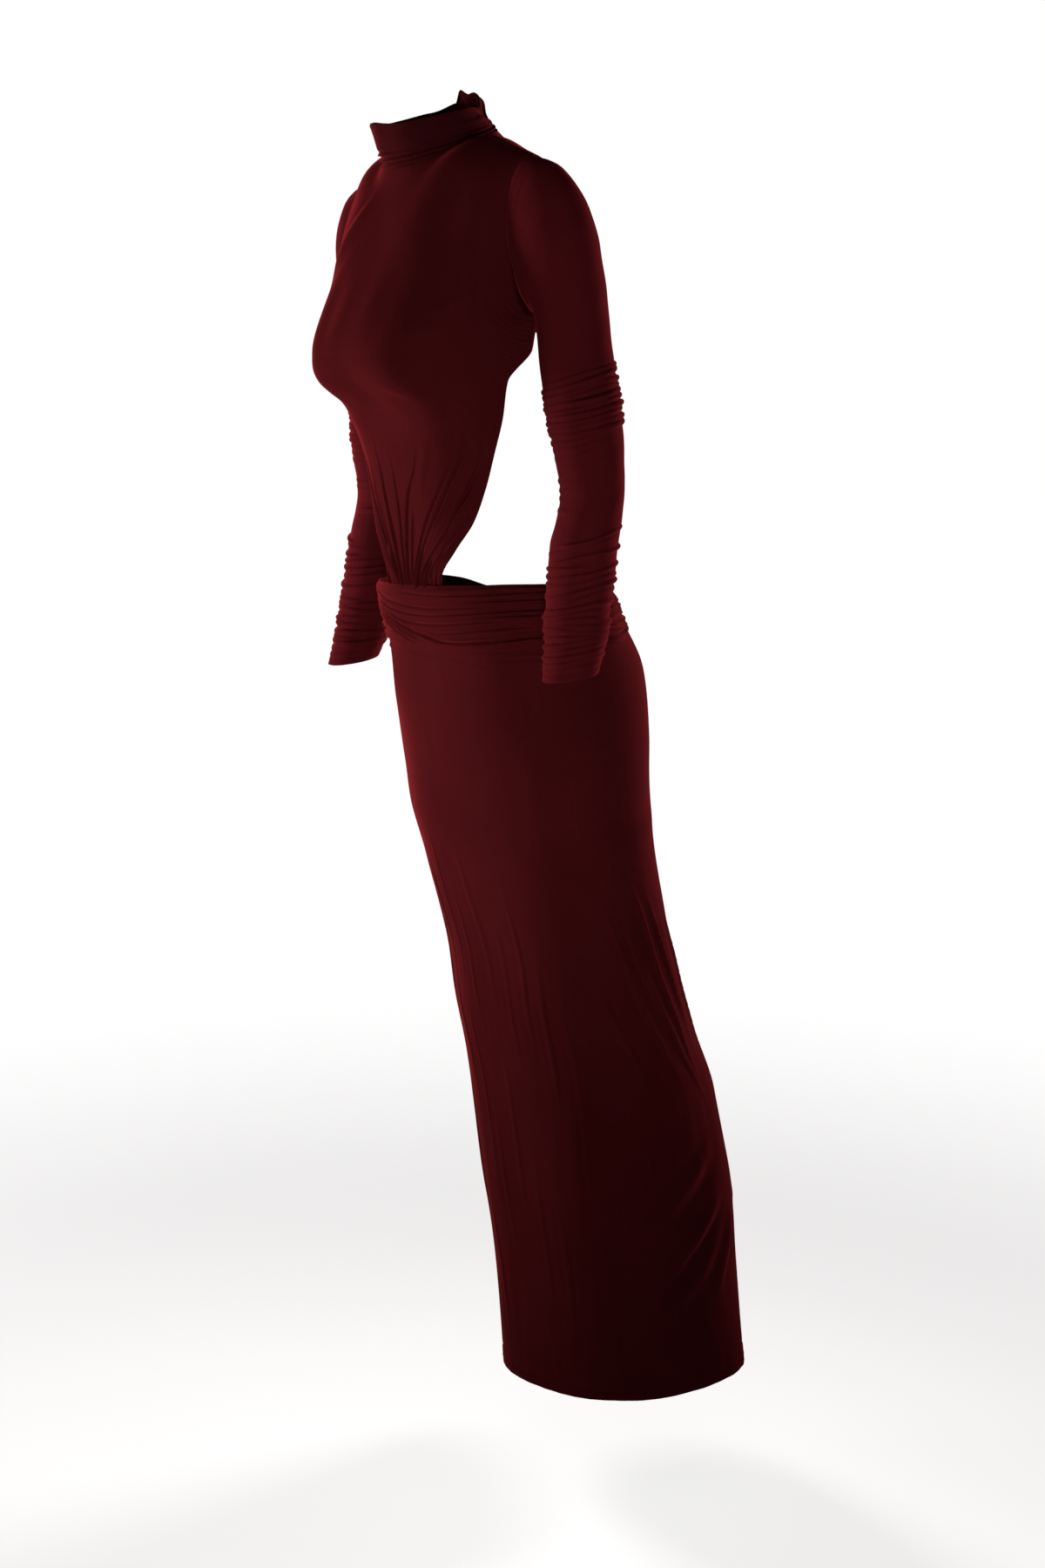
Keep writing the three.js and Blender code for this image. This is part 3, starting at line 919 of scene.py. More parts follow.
@dataclass
class Collar(Panel):
    """Doubled tube, scrunched into two rolls at its foot, with loose cloth standing at the back."""

    title: ClassVar[str] = "collar_jersey"
    nodes: ClassVar[tuple[str, ...]] = ("collar",)
    slot: ClassVar[str] = "collar"
    rests_on: ClassVar[tuple[str, ...]] = ("bodice_front_jersey", "back_yoke_jersey")
    shoulders: Shoulders
    top_z: float = 61
    top_slope: float = 0.07
    top_radius: float = 60
    top_y: float = -2
    stand: float = 12
    spread: float = 6
    wall: float = 2.0
    columns: int = 200
    ear_turns: tuple[float, ...] = (54, 68, 90, 107, 113)
    ear_rises: tuple[float, ...] = (0, 6, 9, 14, 0)
    dip: float = 5
    front_rise: float = 6
    draw_in: float = 6
    height: float = 42.0
    foot_out: float = 0.2
    foot_drop: float = 0.6
    loose: float = 2.6
    spacing: Path = ((0.0, 0.0085), (0.38, 0.028), (0.94, 0.012), (1.0, 0.0))
    uneven: Uneven = Uneven(0.25, 5, 26)
    rolls: Profile = Profile(
        ("up", "out"),
        (
            (0.0, -0.6),
            (0.05, 2.1),
            (0.1, -1.9),
            (0.16, 2.6),
            (0.225, -2.4),
            (0.29, 1.8),
            (0.36, 0.0),
            (0.42, 0.5),
            (0.55, 0.5),
            (0.9, 0.5),
            (0.965, 0.9),
            (1.0, 0.1),
        ),
    )
    cut: Cut = Cut(0.385, 0.05, Held.GATHERED)
    folds: tuple[Fold, ...] = (
        Fold(((-75, 0.45), (-30, 0.47), (20, 0.42)), 2.2, -0.7),
        Fold(((-60, 0.62), (-10, 0.6), (40, 0.55)), 3.0, 0.6),
        Fold(((15, 0.5), (40, 0.72), (62, 0.95)), 3.4, 1.6, 0.3),
        Fold(((45, 0.4), (70, 0.7), (84, 1.0)), 3.6, 1.9, -0.3),
        Fold(((96, 0.36), (104, 0.7), (112, 1.0)), 3.8, 1.7, 0.3),
        Fold(((130, 0.45), (136, 0.75), (150, 1.0)), 3.6, 1.5),
        Fold(((160, 0.55), (190, 0.6), (225, 0.5)), 2.6, 0.8),
        Fold(((-150, 0.34), (-110, 0.36), (-70, 0.33)), 2.0, -0.6),
    )

    def sheet(self) -> Sheet:
        """Draws the collar.

        Returns:
            Its cloth grid.
        """
        angle = np.linspace(0, 2 * math.pi, self.columns, endpoint=False)[None, :]
        v = spaced(*self.spacing)[:, None]
        foot = self.shoulders.neck(angle, self.foot_out)
        foot[..., 2] -= self.foot_drop
        back = np.maximum(0, np.sin(angle)) ** 3
        deg = signed(np.degrees(angle))
        drawn = self.top_radius - self.draw_in * bump(deg - 58, 36)
        y = self.top_y + (drawn + self.spread * back) * np.sin(angle)
        high = self.stand * back * (0.3 + 0.16 * np.cos(9 * angle + 0.6))
        high = high + np.interp(deg, self.ear_turns, self.ear_rises)
        high = high - self.dip * bump(deg - 44, 18) + self.front_rise * bump(deg + 108, 30)
        top = stack(drawn * np.cos(angle), y, self.top_z + self.top_slope * y + high)
        base = foot * (1 - v)[..., None] + top * v[..., None]
        turn = signed(np.degrees(angle) + 0 * v)
        around = 0.8 + 0.2 * np.cos(3 * angle) + 0.1 * np.cos(5 * angle + 1)
        loose = self.loose * back * np.cos(7 * angle + 5 * v) * ease(v * 2 - 0.4)
        rise = self.rolls.at("out", v + 0.012 * np.sin(2 * angle + 0.5)) * around + loose
        rise = rise + fold_height(self.folds, turn, v + 0 * angle, (PER_NECK_TURN, self.height))
        rise = rise + self.uneven.at(turn, v * self.height)
        wide = np.linspace(0, self.cut.width, self.columns + 1)[None, :] + 0 * v
        chart = np.stack([wide, self.cut.length * v + 0 * wide], axis=-1)
        return Sheet(base, rise, chart, True, self.wall)


@dataclass
class BodiceFront(Panel):
    """Front that is stretched over the bust and gathered into a narrow end at the hip band."""

    title: ClassVar[str] = "bodice_front_jersey"
    nodes: ClassVar[tuple[str, ...]] = ("bodice_front",)
    slot: ClassVar[str] = "bodice"
    rests_on: ClassVar[tuple[str, ...]] = ("collar_jersey", "hip_band_jersey")
    shoulders: Shoulders
    levels: Profile = Profile(
        ("z", "y", "edge_x", "edge_y", "edge_z", "wrap"),
        (
            (-165, -122, 134, 11, -162, 90),
            (-195, -126, 127, 3, -192, 88),
            (-222, -119, 121, -36, -219, 78),
            (-262, -120, 112, -51, -261, 70),
            (-290, -120, 104, -61, -289, 64),
            (-325, -122, 96, -74, -324, 58),
            (-357, -124, 87, -90, -357, 52),
            (-387, -126, 67, -107, -386, 46),
            (-412, -127, 50, -118, -411, 42),
            (-434, -127, 46, -121, -434, 40),
        ),
    )
    chest_z: float = -165
    tail_z: float = -434
    bust_x: float = 66
    bust_z: float = -174
    bust_out: float = 41
    bust_width: float = 60
    bust_above: float = 62
    bust_below: float = 48
    bust_arch: float = 9
    bridge: float = 0.17
    side_fall: float = 9
    side_x: float = 92
    side_width: float = 30
    wall: float = 1.0
    columns: int = 216
    chest_rows: int = 64
    waist_rows: int = 126
    reach: tuple[float, float] = (250, 150)
    ends: int = 15
    end_rise: float = 1.05
    hem: float = 7
    uneven: Uneven = Uneven(0.35, 11, 70)
    cut: Cut = Cut(0.50, 0.53, Held.STRETCHED, 0.155)
    folds: tuple[Fold, ...] = (
        # thin gathers that run into the narrow end, right side first
        Fold(((-99, -250), (-86, -300), (-68, -345), (-48, -385), (-32, -434)), 1.9, 2.0, 0.2, 0.5, 0.02),
        Fold(((-88, -262), (-76, -306), (-56, -352), (-37, -392), (-26, -434)), 1.5, 1.8, 0.2, 0.5, 0.02),
        Fold(((-74, -250), (-65, -304), (-45, -355), (-26, -400), (-20, -434)), 1.5, 2.3, 0.2, 0.45, 0.02),
        Fold(((-90, -320), (-72, -352), (-54, -388), (-42, -434)), 1.6, 2.0, -0.2, 0.4, 0.02),
        Fold(((-58, -262), (-48, -320), (-34, -368), (-22, -410), (-17, -434)), 1.4, 1.6, 0, 0.45, 0.02),
        Fold(((-35, -240), (-30, -300), (-23, -352), (-16, -400), (-13, -434)), 1.5, 2.2, 0.2, 0.45, 0.02),
        Fold(((-44, -290), (-36, -340), (-25, -385), (-18, -434)), 1.5, -1.1, 0, 0.4, 0.02),
        Fold(((-12, -250), (-6, -296), (-3, -334), (-5, -376), (-8, -434)), 1.4, 1.6, 0, 0.45, 0.02),
        Fold(((-22, -300), (-18, -350), (-14, -396), (-11, -434)), 1.4, -0.8, 0, 0.4, 0.02),
        Fold(
            ((44, -262), (33, -294), (18, -322), (8, -356), (2, -392), (-3, -434)),
            1.4, 2.3, -0.2, 0.4, 0.02,
        ),
        Fold(((30, -320), (18, -362), (10, -400), (3, -434)), 1.4, -2.0, 0, 0.4, 0.02),
        # long dark creases from the left side edge
        Fold(
            ((103, -236), (97, -262), (83, -296), (64, -334), (44, -364), (26, -392), (12, -434)),
            1.5, -3.5, 0.2, 0.45, 0.02,
        ),
        Fold(
            ((98, -268), (82, -304), (62, -340), (40, -371), (22, -398), (9, -434)),
            1.5, 2.4, -0.2, 0.4, 0.02,
        ),
        Fold(
            ((90, -270), (72, -304), (54, -334), (36, -362), (18, -396), (6, -434)),
            1.4, -2.3, 0.2, 0.5, 0.02,
        ),
        Fold(
            ((105, -262), (97, -296), (84, -328), (66, -361), (46, -385), (28, -406), (19, -434)),
            1.5, -3.4, 0.2, 0.4, 0.02,
        ),
        Fold(
            ((102, -290), (90, -324), (72, -354), (52, -379), (34, -402), (23, -434)),
            1.6, 2.3, -0.2, 0.4, 0.02,
        ),
        Fold(((92, -336), (76, -362), (56, -386), (38, -407), (29, -434)), 1.4, -2.4, 0, 0.35, 0.02),
        Fold(((84, -352), (68, -374), (50, -392), (36, -410), (32, -434)), 1.8, 2.4, 0, 0.3, 0.02),
        # broad soft folds
        Fold(((112, -238), (100, -268), (90, -292), (76, -320)), 4.5, 1.2, 0, 0.4, 0.4),
        Fold(((-110, -246), (-98, -276), (-86, -304)), 4.5, 1.1, 0, 0.4, 0.4),
        Fold(((62, -262), (46, -298), (34, -330)), 5.0, 0.9, 0, 0.4, 0.5),
        Fold(((-22, -6), (-52, -36), (-84, -71), (-106, -108)), 7.5, 2.0, 0.2, 0.3, 0.35),
        Fold(((26, -208), (58, -226), (92, -220), (116, -206)), 9.0, -2.2, 0, 0.35, 0.4),
        Fold(((-26, -208), (-58, -226), (-92, -220)), 9.0, -1.6, 0, 0.4, 0.4),
        Fold(((44, -50), (50, -110), (48, -160), (42, -205)), 18.0, -2.2, 0, 0.4, 0.4),
        Fold(((94, -128), (98, -162), (92, -196)), 15.0, 2.2, 0, 0.4, 0.4),
        Fold(((-44, -70), (-50, -120), (-46, -190)), 15.0, -1.6, 0, 0.4, 0.4),
        Fold(((138, -146), (120, -170), (98, -190)), 7.0, 1.4, 0, 0.3, 0.5),
        Fold(((-138, -146), (-120, -170), (-98, -190)), 7.0, 1.3, 0, 0.3, 0.5),
        Fold(((130, -116), (112, -130), (90, -138)), 6.0, 1.0, 0, 0.3, 0.5),
        Fold(((-130, -116), (-112, -130), (-90, -138)), 6.0, 1.0, 0, 0.3, 0.5),
    )

    def row(self, part: Points, z: Points) -> Points:
        """Rounded line across the left half.

        Args:
            part: 0 at the centre to 1 at the side edge.
            z: Level, mm.

        Returns:
            Points, mm.
        """
        y, x, edge_y, edge_z, wrap = (
            self.levels.at(n, z) for n in ("y", "edge_x", "edge_y", "edge_z", "wrap")
        )
        turn = wrap * RAD * part
        bend = (1 - np.cos(turn)) / (1 - np.cos(wrap * RAD))
        return stack(x * np.sin(turn) / np.sin(wrap * RAD), mix(y, edge_y, bend**1.6), mix(z, edge_z, bend))

    def surface(self) -> tuple[Points, Points]:
        """Smooth form over the bust and down to the narrow end.

        Returns:
            Points, mm, and the place across of each, -1 to 1.
        """
        u = np.linspace(-1, 1, self.columns)[None, :]
        top = np.linspace(0, 1, self.chest_rows + 1)[:-1, None]
        low = np.linspace(0, 1, self.waist_rows + 1)[:, None]
        across = np.abs(u) + 0 * top
        lower = self.row(across, np.full(across.shape, self.chest_z))
        # the panel reads its side edge from the last column
        chest = self.shoulders.panel(u + 0 * top, top + 0 * u, 1, lower, self.reach)
        waist = self.row(np.abs(u) + 0 * low, mix(self.chest_z, self.tail_z, low) + 0 * u)
        waist[..., 0] *= np.where(u < 0, -1, 1)
        base = np.concatenate([chest, waist])
        yields = np.concatenate([ease(top / 0.16), 1 - ease(low / 0.3)]) + 0 * u
        base = relax(base, yields, 90)
        base = relax(base, yields * (1 - ease((np.abs(u) - 0.5) / 0.25)), 300)
        arch = self.bust_arch * (1 - bump(np.abs(base[..., 0]) - self.bust_x, self.bust_width))
        rise = base[..., 2] - self.bust_z - arch
        bust = bump(rise, np.where(rise > 0, self.bust_above, self.bust_below)) * self.bust_out
        beyond = np.abs(base[..., 0]) - self.bust_x
        bridged = 1 - self.bridge * ease(-beyond / self.bust_x)
        base[..., 1] -= bust * np.where(beyond > 0, bump(beyond, self.bust_width), bridged)
        down = np.concatenate([ease((top - 0.15) / 0.4), 1 - ease(low / 0.16)])
        base[..., 1] += self.side_fall * down * bump(base[..., 0] - self.side_x, self.side_width)
        self.shoulders.slope(base)
        self.shoulders.turn_in(base[: self.chest_rows], 1 - ease((top[:, 0] - 0.88) / 0.12))
        return base, u + 0 * base[..., 0]

    def sheet(self) -> Sheet:
        """Draws the front.

        Returns:
            Its cloth grid.
        """
        base, u = self.surface()
        x, z = base[..., 0], base[..., 2]
        near_tail = ease((-395 - z) / 36)
        gathers = self.end_rise * np.cos(u * self.ends * math.pi + 0.5 * np.sin(5 * u)) * near_tail
        rise = fold_height(self.folds, x, z) + gathers + self.uneven.at(x, z)
        # the open side edges are hemmed below the bust, about 120 mm from the centre
        rise = rise + hem_step((1 - np.abs(u)) * 120, self.hem, 1.5) * ease((-200 - z) / 20)
        run = np.linspace(0, self.cut.length, base.shape[0])[:, None] + 0 * u
        chart = np.stack([x / 1000.0, run], axis=-1)
        return Sheet(base, rise, chart, False, self.wall)


@dataclass
class BackYoke(Panel):
    """Short panel over the shoulder blades with an open lower edge."""

    title: ClassVar[str] = "back_yoke_jersey"
    nodes: ClassVar[tuple[str, ...]] = ("back_yoke",)
    slot: ClassVar[str] = "bodice"
    rests_on: ClassVar[tuple[str, ...]] = ("collar_jersey", "bodice_front_jersey")
    shoulders: Shoulders
    centre_z: float = -186
    depth: float = 90
    seam_strip: tuple[float, float, float] = (0, -3.5, -1.6)
    under_x: float = 127
    under_y: float = 4
    under_z: float = -192
    wall: float = 1.0
    columns: int = 150
    rows: int = 76
    reach: tuple[float, float] = (290, 130)
    hem: float = 9
    uneven: Uneven = Uneven(0.35, 23, 60)
    cut: Cut = Cut(0.36, 0.24, Held.STRETCHED, 0.075)
    folds: tuple[Fold, ...] = (
        Fold(((-118, -120), (-60, -132), (0, -128), (60, -134), (118, -122)), 6.5, 1.2, 0, 0.3, 0.3),
        Fold(((-96, -160), (-40, -172), (20, -168), (90, -162)), 5.0, 1.1, 0, 0.3, 0.3),
        Fold(((-40, 4), (-70, -40), (-100, -90)), 9.0, 1.2, 0, 0.4, 0.4),
        Fold(((40, 4), (70, -40), (100, -90)), 9.0, 1.2, 0, 0.4, 0.4),
        Fold(((-14, 8), (-8, -60), (-12, -120)), 10.0, -1.4, 0, 0.4, 0.4),
    )

    def sheet(self) -> Sheet:
        """Draws the upper back.

        Returns:
            Its cloth grid.
        """
        u = np.linspace(-1, 1, self.columns)[None, :]
        t = np.linspace(0, 1, self.rows)[:, None]
        part = np.abs(u) + 0 * t
        bend = 1 - np.cos(math.pi / 2 * part)
        lower = stack(
            self.under_x * np.sin(math.pi / 2 * part),
            mix(self.depth, self.under_y + SEAM, bend),
            mix(self.centre_z, self.under_z, bend),
        )
        base = self.shoulders.panel(u + 0 * t, t + 0 * u, -1, lower, self.reach)
        seat = (ease((part - 0.45) / 0.55) * ease((t - 0.75) / 0.25))[..., None]
        held = lower.copy()
        held[..., 0] *= np.where(u < 0, -1, 1)
        base = base + (held - base) * seat
        base = relax(base, ease(t / 0.2) + 0 * u, 90)
        self.shoulders.slope(base)
        self.shoulders.turn_in(base, 1 - ease((t[:, 0] - 0.88) / 0.12))
        # the shoulder seam is closed by a strip under the front
        under = ease((part[0] - self.shoulders.neck_share) / 0.05)[:, None]
        base[0] += np.array(self.seam_strip) * under
        x, z = base[..., 0], base[..., 2]
        rise = fold_height(self.folds, x, z) + self.uneven.at(x, z)
        # the panel is about 200 mm long
        rise = rise + hem_step((1 - t) * 200, self.hem, 1.5)
        chart = np.stack([x / 1000.0, self.cut.length * t + 0 * u], axis=-1)
        return Sheet(base, rise, chart, False, self.wall)


@dataclass(frozen=True)
class Ruche:
    """One roll of pushed-up cloth round a sleeve.

    Attributes:
        z: Level at the middle of the shown side, mm.
        out: How far it stands out, mm.
        width: Half width, mm.
        tilt: Rise from the front inner side to the back outer side, mm.
        arch: Rise of the outer side over the inner side, mm.
        middle: Turn at the middle of the roll, degrees.
        reach: Half of its length round the arm, degrees; 180 goes all round.
    """

    z: float
    out: float
    width: float = 3.6
    tilt: float = 3.0
    arch: float = 2.0
    middle: float = 40.0
    reach: float = 180.0


@dataclass
class Sleeve(Panel):
    """Long fitted sleeve, pushed up at the elbow and from the forearm to the cuff."""

    slot: ClassVar[str] = "sleeves"
    rests_on: ClassVar[tuple[str, ...]] = ("bodice_front_jersey", "back_yoke_jersey")
    side: int
    seed: int
    levels: Profile = Profile(
        ("out_z", "out_x", "in_x", "in_z", "y", "half"),
        (
            (4, 150.6, 134.2, -162, 12, 40),
            (-8, 180, 136, -163, 12.5, 41),
            (-42, 205, 136.5, -164, 13, 42),
            (-85, 213, 137, -166, 13.5, 41),
            (-130, 213, 137, -171, 14, 40),
            (-175, 212, 138, -183, 12, 39.5),
            (-225, 218, 142, -226, 5, 39),
            (-290, 226, 152, -290, -3, 37.5),
            (-340, 226, 157, -340, -9, 33.5),
            (-390, 225, 153, -390, -28, 37),
            (-445, 223, 153, -445, -46, 36),
            (-490, 220, 157, -490, -61, 33),
            (-524, 217, 159, -524, -74, 30),
        ),
    )
    right_forward: float = 15
    right_out: float = 15
    right_bend: float = 4
    cap_turning: float = 3
    cap_z: float = 4
    cuff_z: float = -524
    hem: float = 11
    middle: float = 40
    wall: float = 1.0
    columns: int = 112
    spacing: Path = (
        (4, 2.0),
        (-16, 5.0),
        (-214, 0.85),
        (-302, 2.0),
        (-318, 1.1),
        (-362, 2.6),
        (-380, 0.95),
        (-524, 0),
    )
    cut: Cut = Cut(0.235, 0.66, Held.GATHERED)
    ruches: tuple[Ruche, ...] = (
        Ruche(-215, 1.1, 2.6, 6, 2, 20, 80),
        Ruche(-221.5, 2.0, 3.0, 6, 2, 10, 120),
        Ruche(-228, 3.0, 3.4, 6, 2),
        Ruche(-234.5, 3.8, 3.6, 5, 2),
        Ruche(-240.5, 3.0, 3.2, 5, 2),
        Ruche(-246.5, 4.1, 3.6, 4, 2),
        Ruche(-252.5, 3.4, 3.3, 4, 1),
        Ruche(-258.5, 4.1, 3.6, 3, 1),
        Ruche(-264.5, 3.2, 3.3, 2, 1),
        Ruche(-270.5, 3.9, 3.6, 2, 0),
        Ruche(-277, 3.2, 3.7, 1, 0),
        Ruche(-283.5, 2.2, 3.4, 3, 0, 110, 120),
        Ruche(-290, 1.4, 3.2, 5, 0, 90, 90),
        Ruche(-297, 1.0, 3.0, 7, 0, 60, 80),
        Ruche(-322, 2.4, 2.6, 5, 0, 130, 80),
        Ruche(-330, 1.1, 2.6, 5, 0, 100, 60),
        Ruche(-341, 1.2, 3.0, 3, 0, 150, 60),
        Ruche(-358, 2.0, 2.8, -2, 0, 130, 60),
        Ruche(-386, 2.8, 2.4, 4, 1, -30, 130),
        Ruche(-392, 1.5, 2.4, 4, 1, 60, 80),
        Ruche(-402, 2.5, 2.4, 3, 2, -20, 140),
        Ruche(-411, 2.1, 2.4, 1, 1, 110, 90),
        Ruche(-419, 2.9, 2.6, 1, 1, 60, 150),
        Ruche(-427, 2.0, 2.6, 0, 2, 40, 150),
        Ruche(-436, 3.0, 3.0, 3, 2),
        Ruche(-444, 2.2, 3.0, 4, 3, -30, 120),
        Ruche(-451, 2.8, 3.0, 2, 6, 0, 140),
        Ruche(-457.5, 3.2, 3.2, -2, 9, 70, 130),
        Ruche(-463.5, 3.5, 3.3, -4, 11),
        Ruche(-469, 2.8, 3.0, -6, 11, 60, 150),
        Ruche(-474.5, 3.6, 3.3, -6, 10),
        Ruche(-480.5, 2.9, 3.2, -3, 9, 20, 150),
        Ruche(-486.5, 3.5, 3.3, 0, 7),
        Ruche(-492.5, 2.6, 3.2, 1, 5, -10, 150),
        Ruche(-498.5, 3.1, 3.3, 1, 3),
        Ruche(-505, 2.4, 3.2, 1, 2),
        Ruche(-511, 1.2, 2.8, 1, 1, 20, 140),
    )

    @property
    def nodes(self) -> tuple[str, ...]:
        """Solid that this sleeve stands for."""
        return ("sleeve_left" if self.side > 0 else "sleeve_right",)

    @property
    def title(self) -> str:
        """Object name."""
        return self.nodes[0] + "_jersey"

    def surface(self, turn: Points, z: Points) -> Points:
        """Smooth tube of the sleeve.

        Args:
            turn: Degrees, 0 on the outside and 90 in front.
            z: Level on its outer line, mm.

        Returns:
            Points, mm.
        """
        out_x, in_x, in_z, y, half = (
            self.levels.at(n, z) for n in ("out_x", "in_x", "in_z", "y", "half")
        )
        c, s = np.cos(turn * RAD), np.sin(turn * RAD)
        carried = clamp01((z + 200) / -324.0) ** self.right_bend if self.side < 0 else 0.0 * z
        return stack(
            self.side * (mix(in_x, out_x, (1 + c) / 2) + SEAM + self.right_out * carried),
            y - half * s - self.right_forward * carried,
            mix(in_z, z, (1 + c) / 2),
        )

    def ruching(self, turn: Points, z: Points) -> Points:
        """Height of the rolls of pushed-up cloth.

        Args:
            turn: Degrees, 0 on the outside and 90 in front.
            z: Level, mm.

        Returns:
            Heights, mm.
        """
        rng = np.random.default_rng(self.seed)
        total = np.zeros(np.broadcast(turn, z).shape)
        for roll in self.ruches:
            phase = rng.uniform(0, 2 * math.pi, 4)
            about = (turn - self.middle) * RAD
            line = roll.z - roll.tilt * np.sin(about) + roll.arch * (np.cos(about) - 1) * 0.5
            line = line + 0.9 * np.sin(2 * about + phase[0]) + 0.5 * np.sin(3 * about + phase[1])
            share = 0.78 + 0.22 * np.sin(about + phase[2]) + 0.16 * np.sin(3 * about + phase[3])
            if roll.reach < 180:
                share = share * ease((roll.reach - np.abs(signed(turn - roll.middle))) / 35.0)
            away = (z - line) / roll.width
            away = away * np.where(away > 0, 1.15, 0.9)
            dome = np.maximum(1 - away**2, 0) ** 0.6
            total = np.maximum(total, roll.out * share * dome)
        return total

    def sheet(self) -> Sheet:
        """Draws the sleeve.

        Returns:
            Its cloth grid.
        """
        turn = np.linspace(-180, 180, self.columns, endpoint=False)[None, :]
        z = spaced(*self.spacing)[:, None]
        turn, z = turn + 0 * z, z + 0 * turn
        base = self.surface(turn, z)
        base[0, :, 0] -= self.side * self.cap_turning
        level = base[..., 2]
        rise = self.ruching(turn, level)
        c, s = np.cos(turn * RAD), np.sin(turn * RAD)
        rise = rise + Uneven(0.3, self.seed, 55).at(c * 36, level + s * 30)
        crushed = Uneven(0.175, self.seed + 1, 17).at(turn * PER_ARM_TURN * 0.4, level)
        rise = rise + ease((-226 - level) / 10) * crushed
        # the cap sinks into its seam, and the cuff is hemmed
        rise = rise - 0.7 * bump(self.cap_z - z, 5.0)
        rise = rise + hem_step(z - self.cuff_z, self.hem, 1.2, 0.45)
        wide = np.linspace(0, self.cut.width, self.columns + 1)[None, :] + 0 * z[:, :1]
        # 800 mm of level to a metre of cloth, as the sleeve is cut longer than the arm
        run = (self.cap_z - z[:, :1]) / 800.0 + 0 * wide
        return Sheet(base, rise, np.stack([wide, run], axis=-1), True, self.wall)


# Hips and skirt


@dataclass(frozen=True)
class Hips:
    """Rounded-square sections of the hips and the skirt."""

    sections: Profile = Profile(
        ("z", "side", "front", "back", "shift"),
        (
            (-400, 128, 98, 92, -28),
            (-450, 141, 105, 102, -22),
            (-500, 151, 109, 109, -15),
            (-560, 156, 119, 123, -10),
            (-630, 160, 115, 117, -14),
            (-690, 160, 110, 110, -20),
            (-750, 157, 103, 103, -20),
            (-836, 152, 101, 101, -16),
            (-907, 150, 107, 107, -15),
            (-978, 149, 112, 112, -10),
            (-1064, 150, 124, 128, -4),
            (-1158, 152, 129, 129, -4),
            (-1266, 154, 125, 125, -12),
            (-1410, 155, 128, 124, -25),
        ),
    )
    square: float = 2.25
    edge: Profile = Profile(
        ("turn", "top", "foot"),
        (
            (0, -419, -490),
            (50, -424, -492),
            (90, -437, -505),
            (115, -450, -516),
            (135, -470, -512),
            (155, -484, -510),
            (180, -488, -512),
        ),
    )

    def point(self, turn: Points, z: Points, lift: Points | float = 0.0) -> Points:
        """Point at a turn from the centre front, left positive, and a level.

        Args:
            turn: Degrees.
            z: Level, mm.
            lift: Distance out from the section, mm.

        Returns:
            Points, mm.
        """
        side, front, back, shift = (self.sections.at(n, z) for n in ("side", "front", "back", "shift"))
        c, s = np.cos(turn * RAD), np.sin(turn * RAD)
        power = 2 / self.square
        depth = np.where(c > 0, front, back) + lift
        x = (side + lift) * np.sign(s) * np.abs(s) ** power
        return stack(x, shift - depth * np.sign(c) * np.abs(c) ** power, z)

    def top(self, turn: Points) -> Points:
        """Upper edge of the band."""
        return self.edge.at("top", np.abs(signed(turn)))

    def foot(self, turn: Points) -> Points:
        """Lower edge of the band."""
        return self.edge.at("foot", np.abs(signed(turn)))


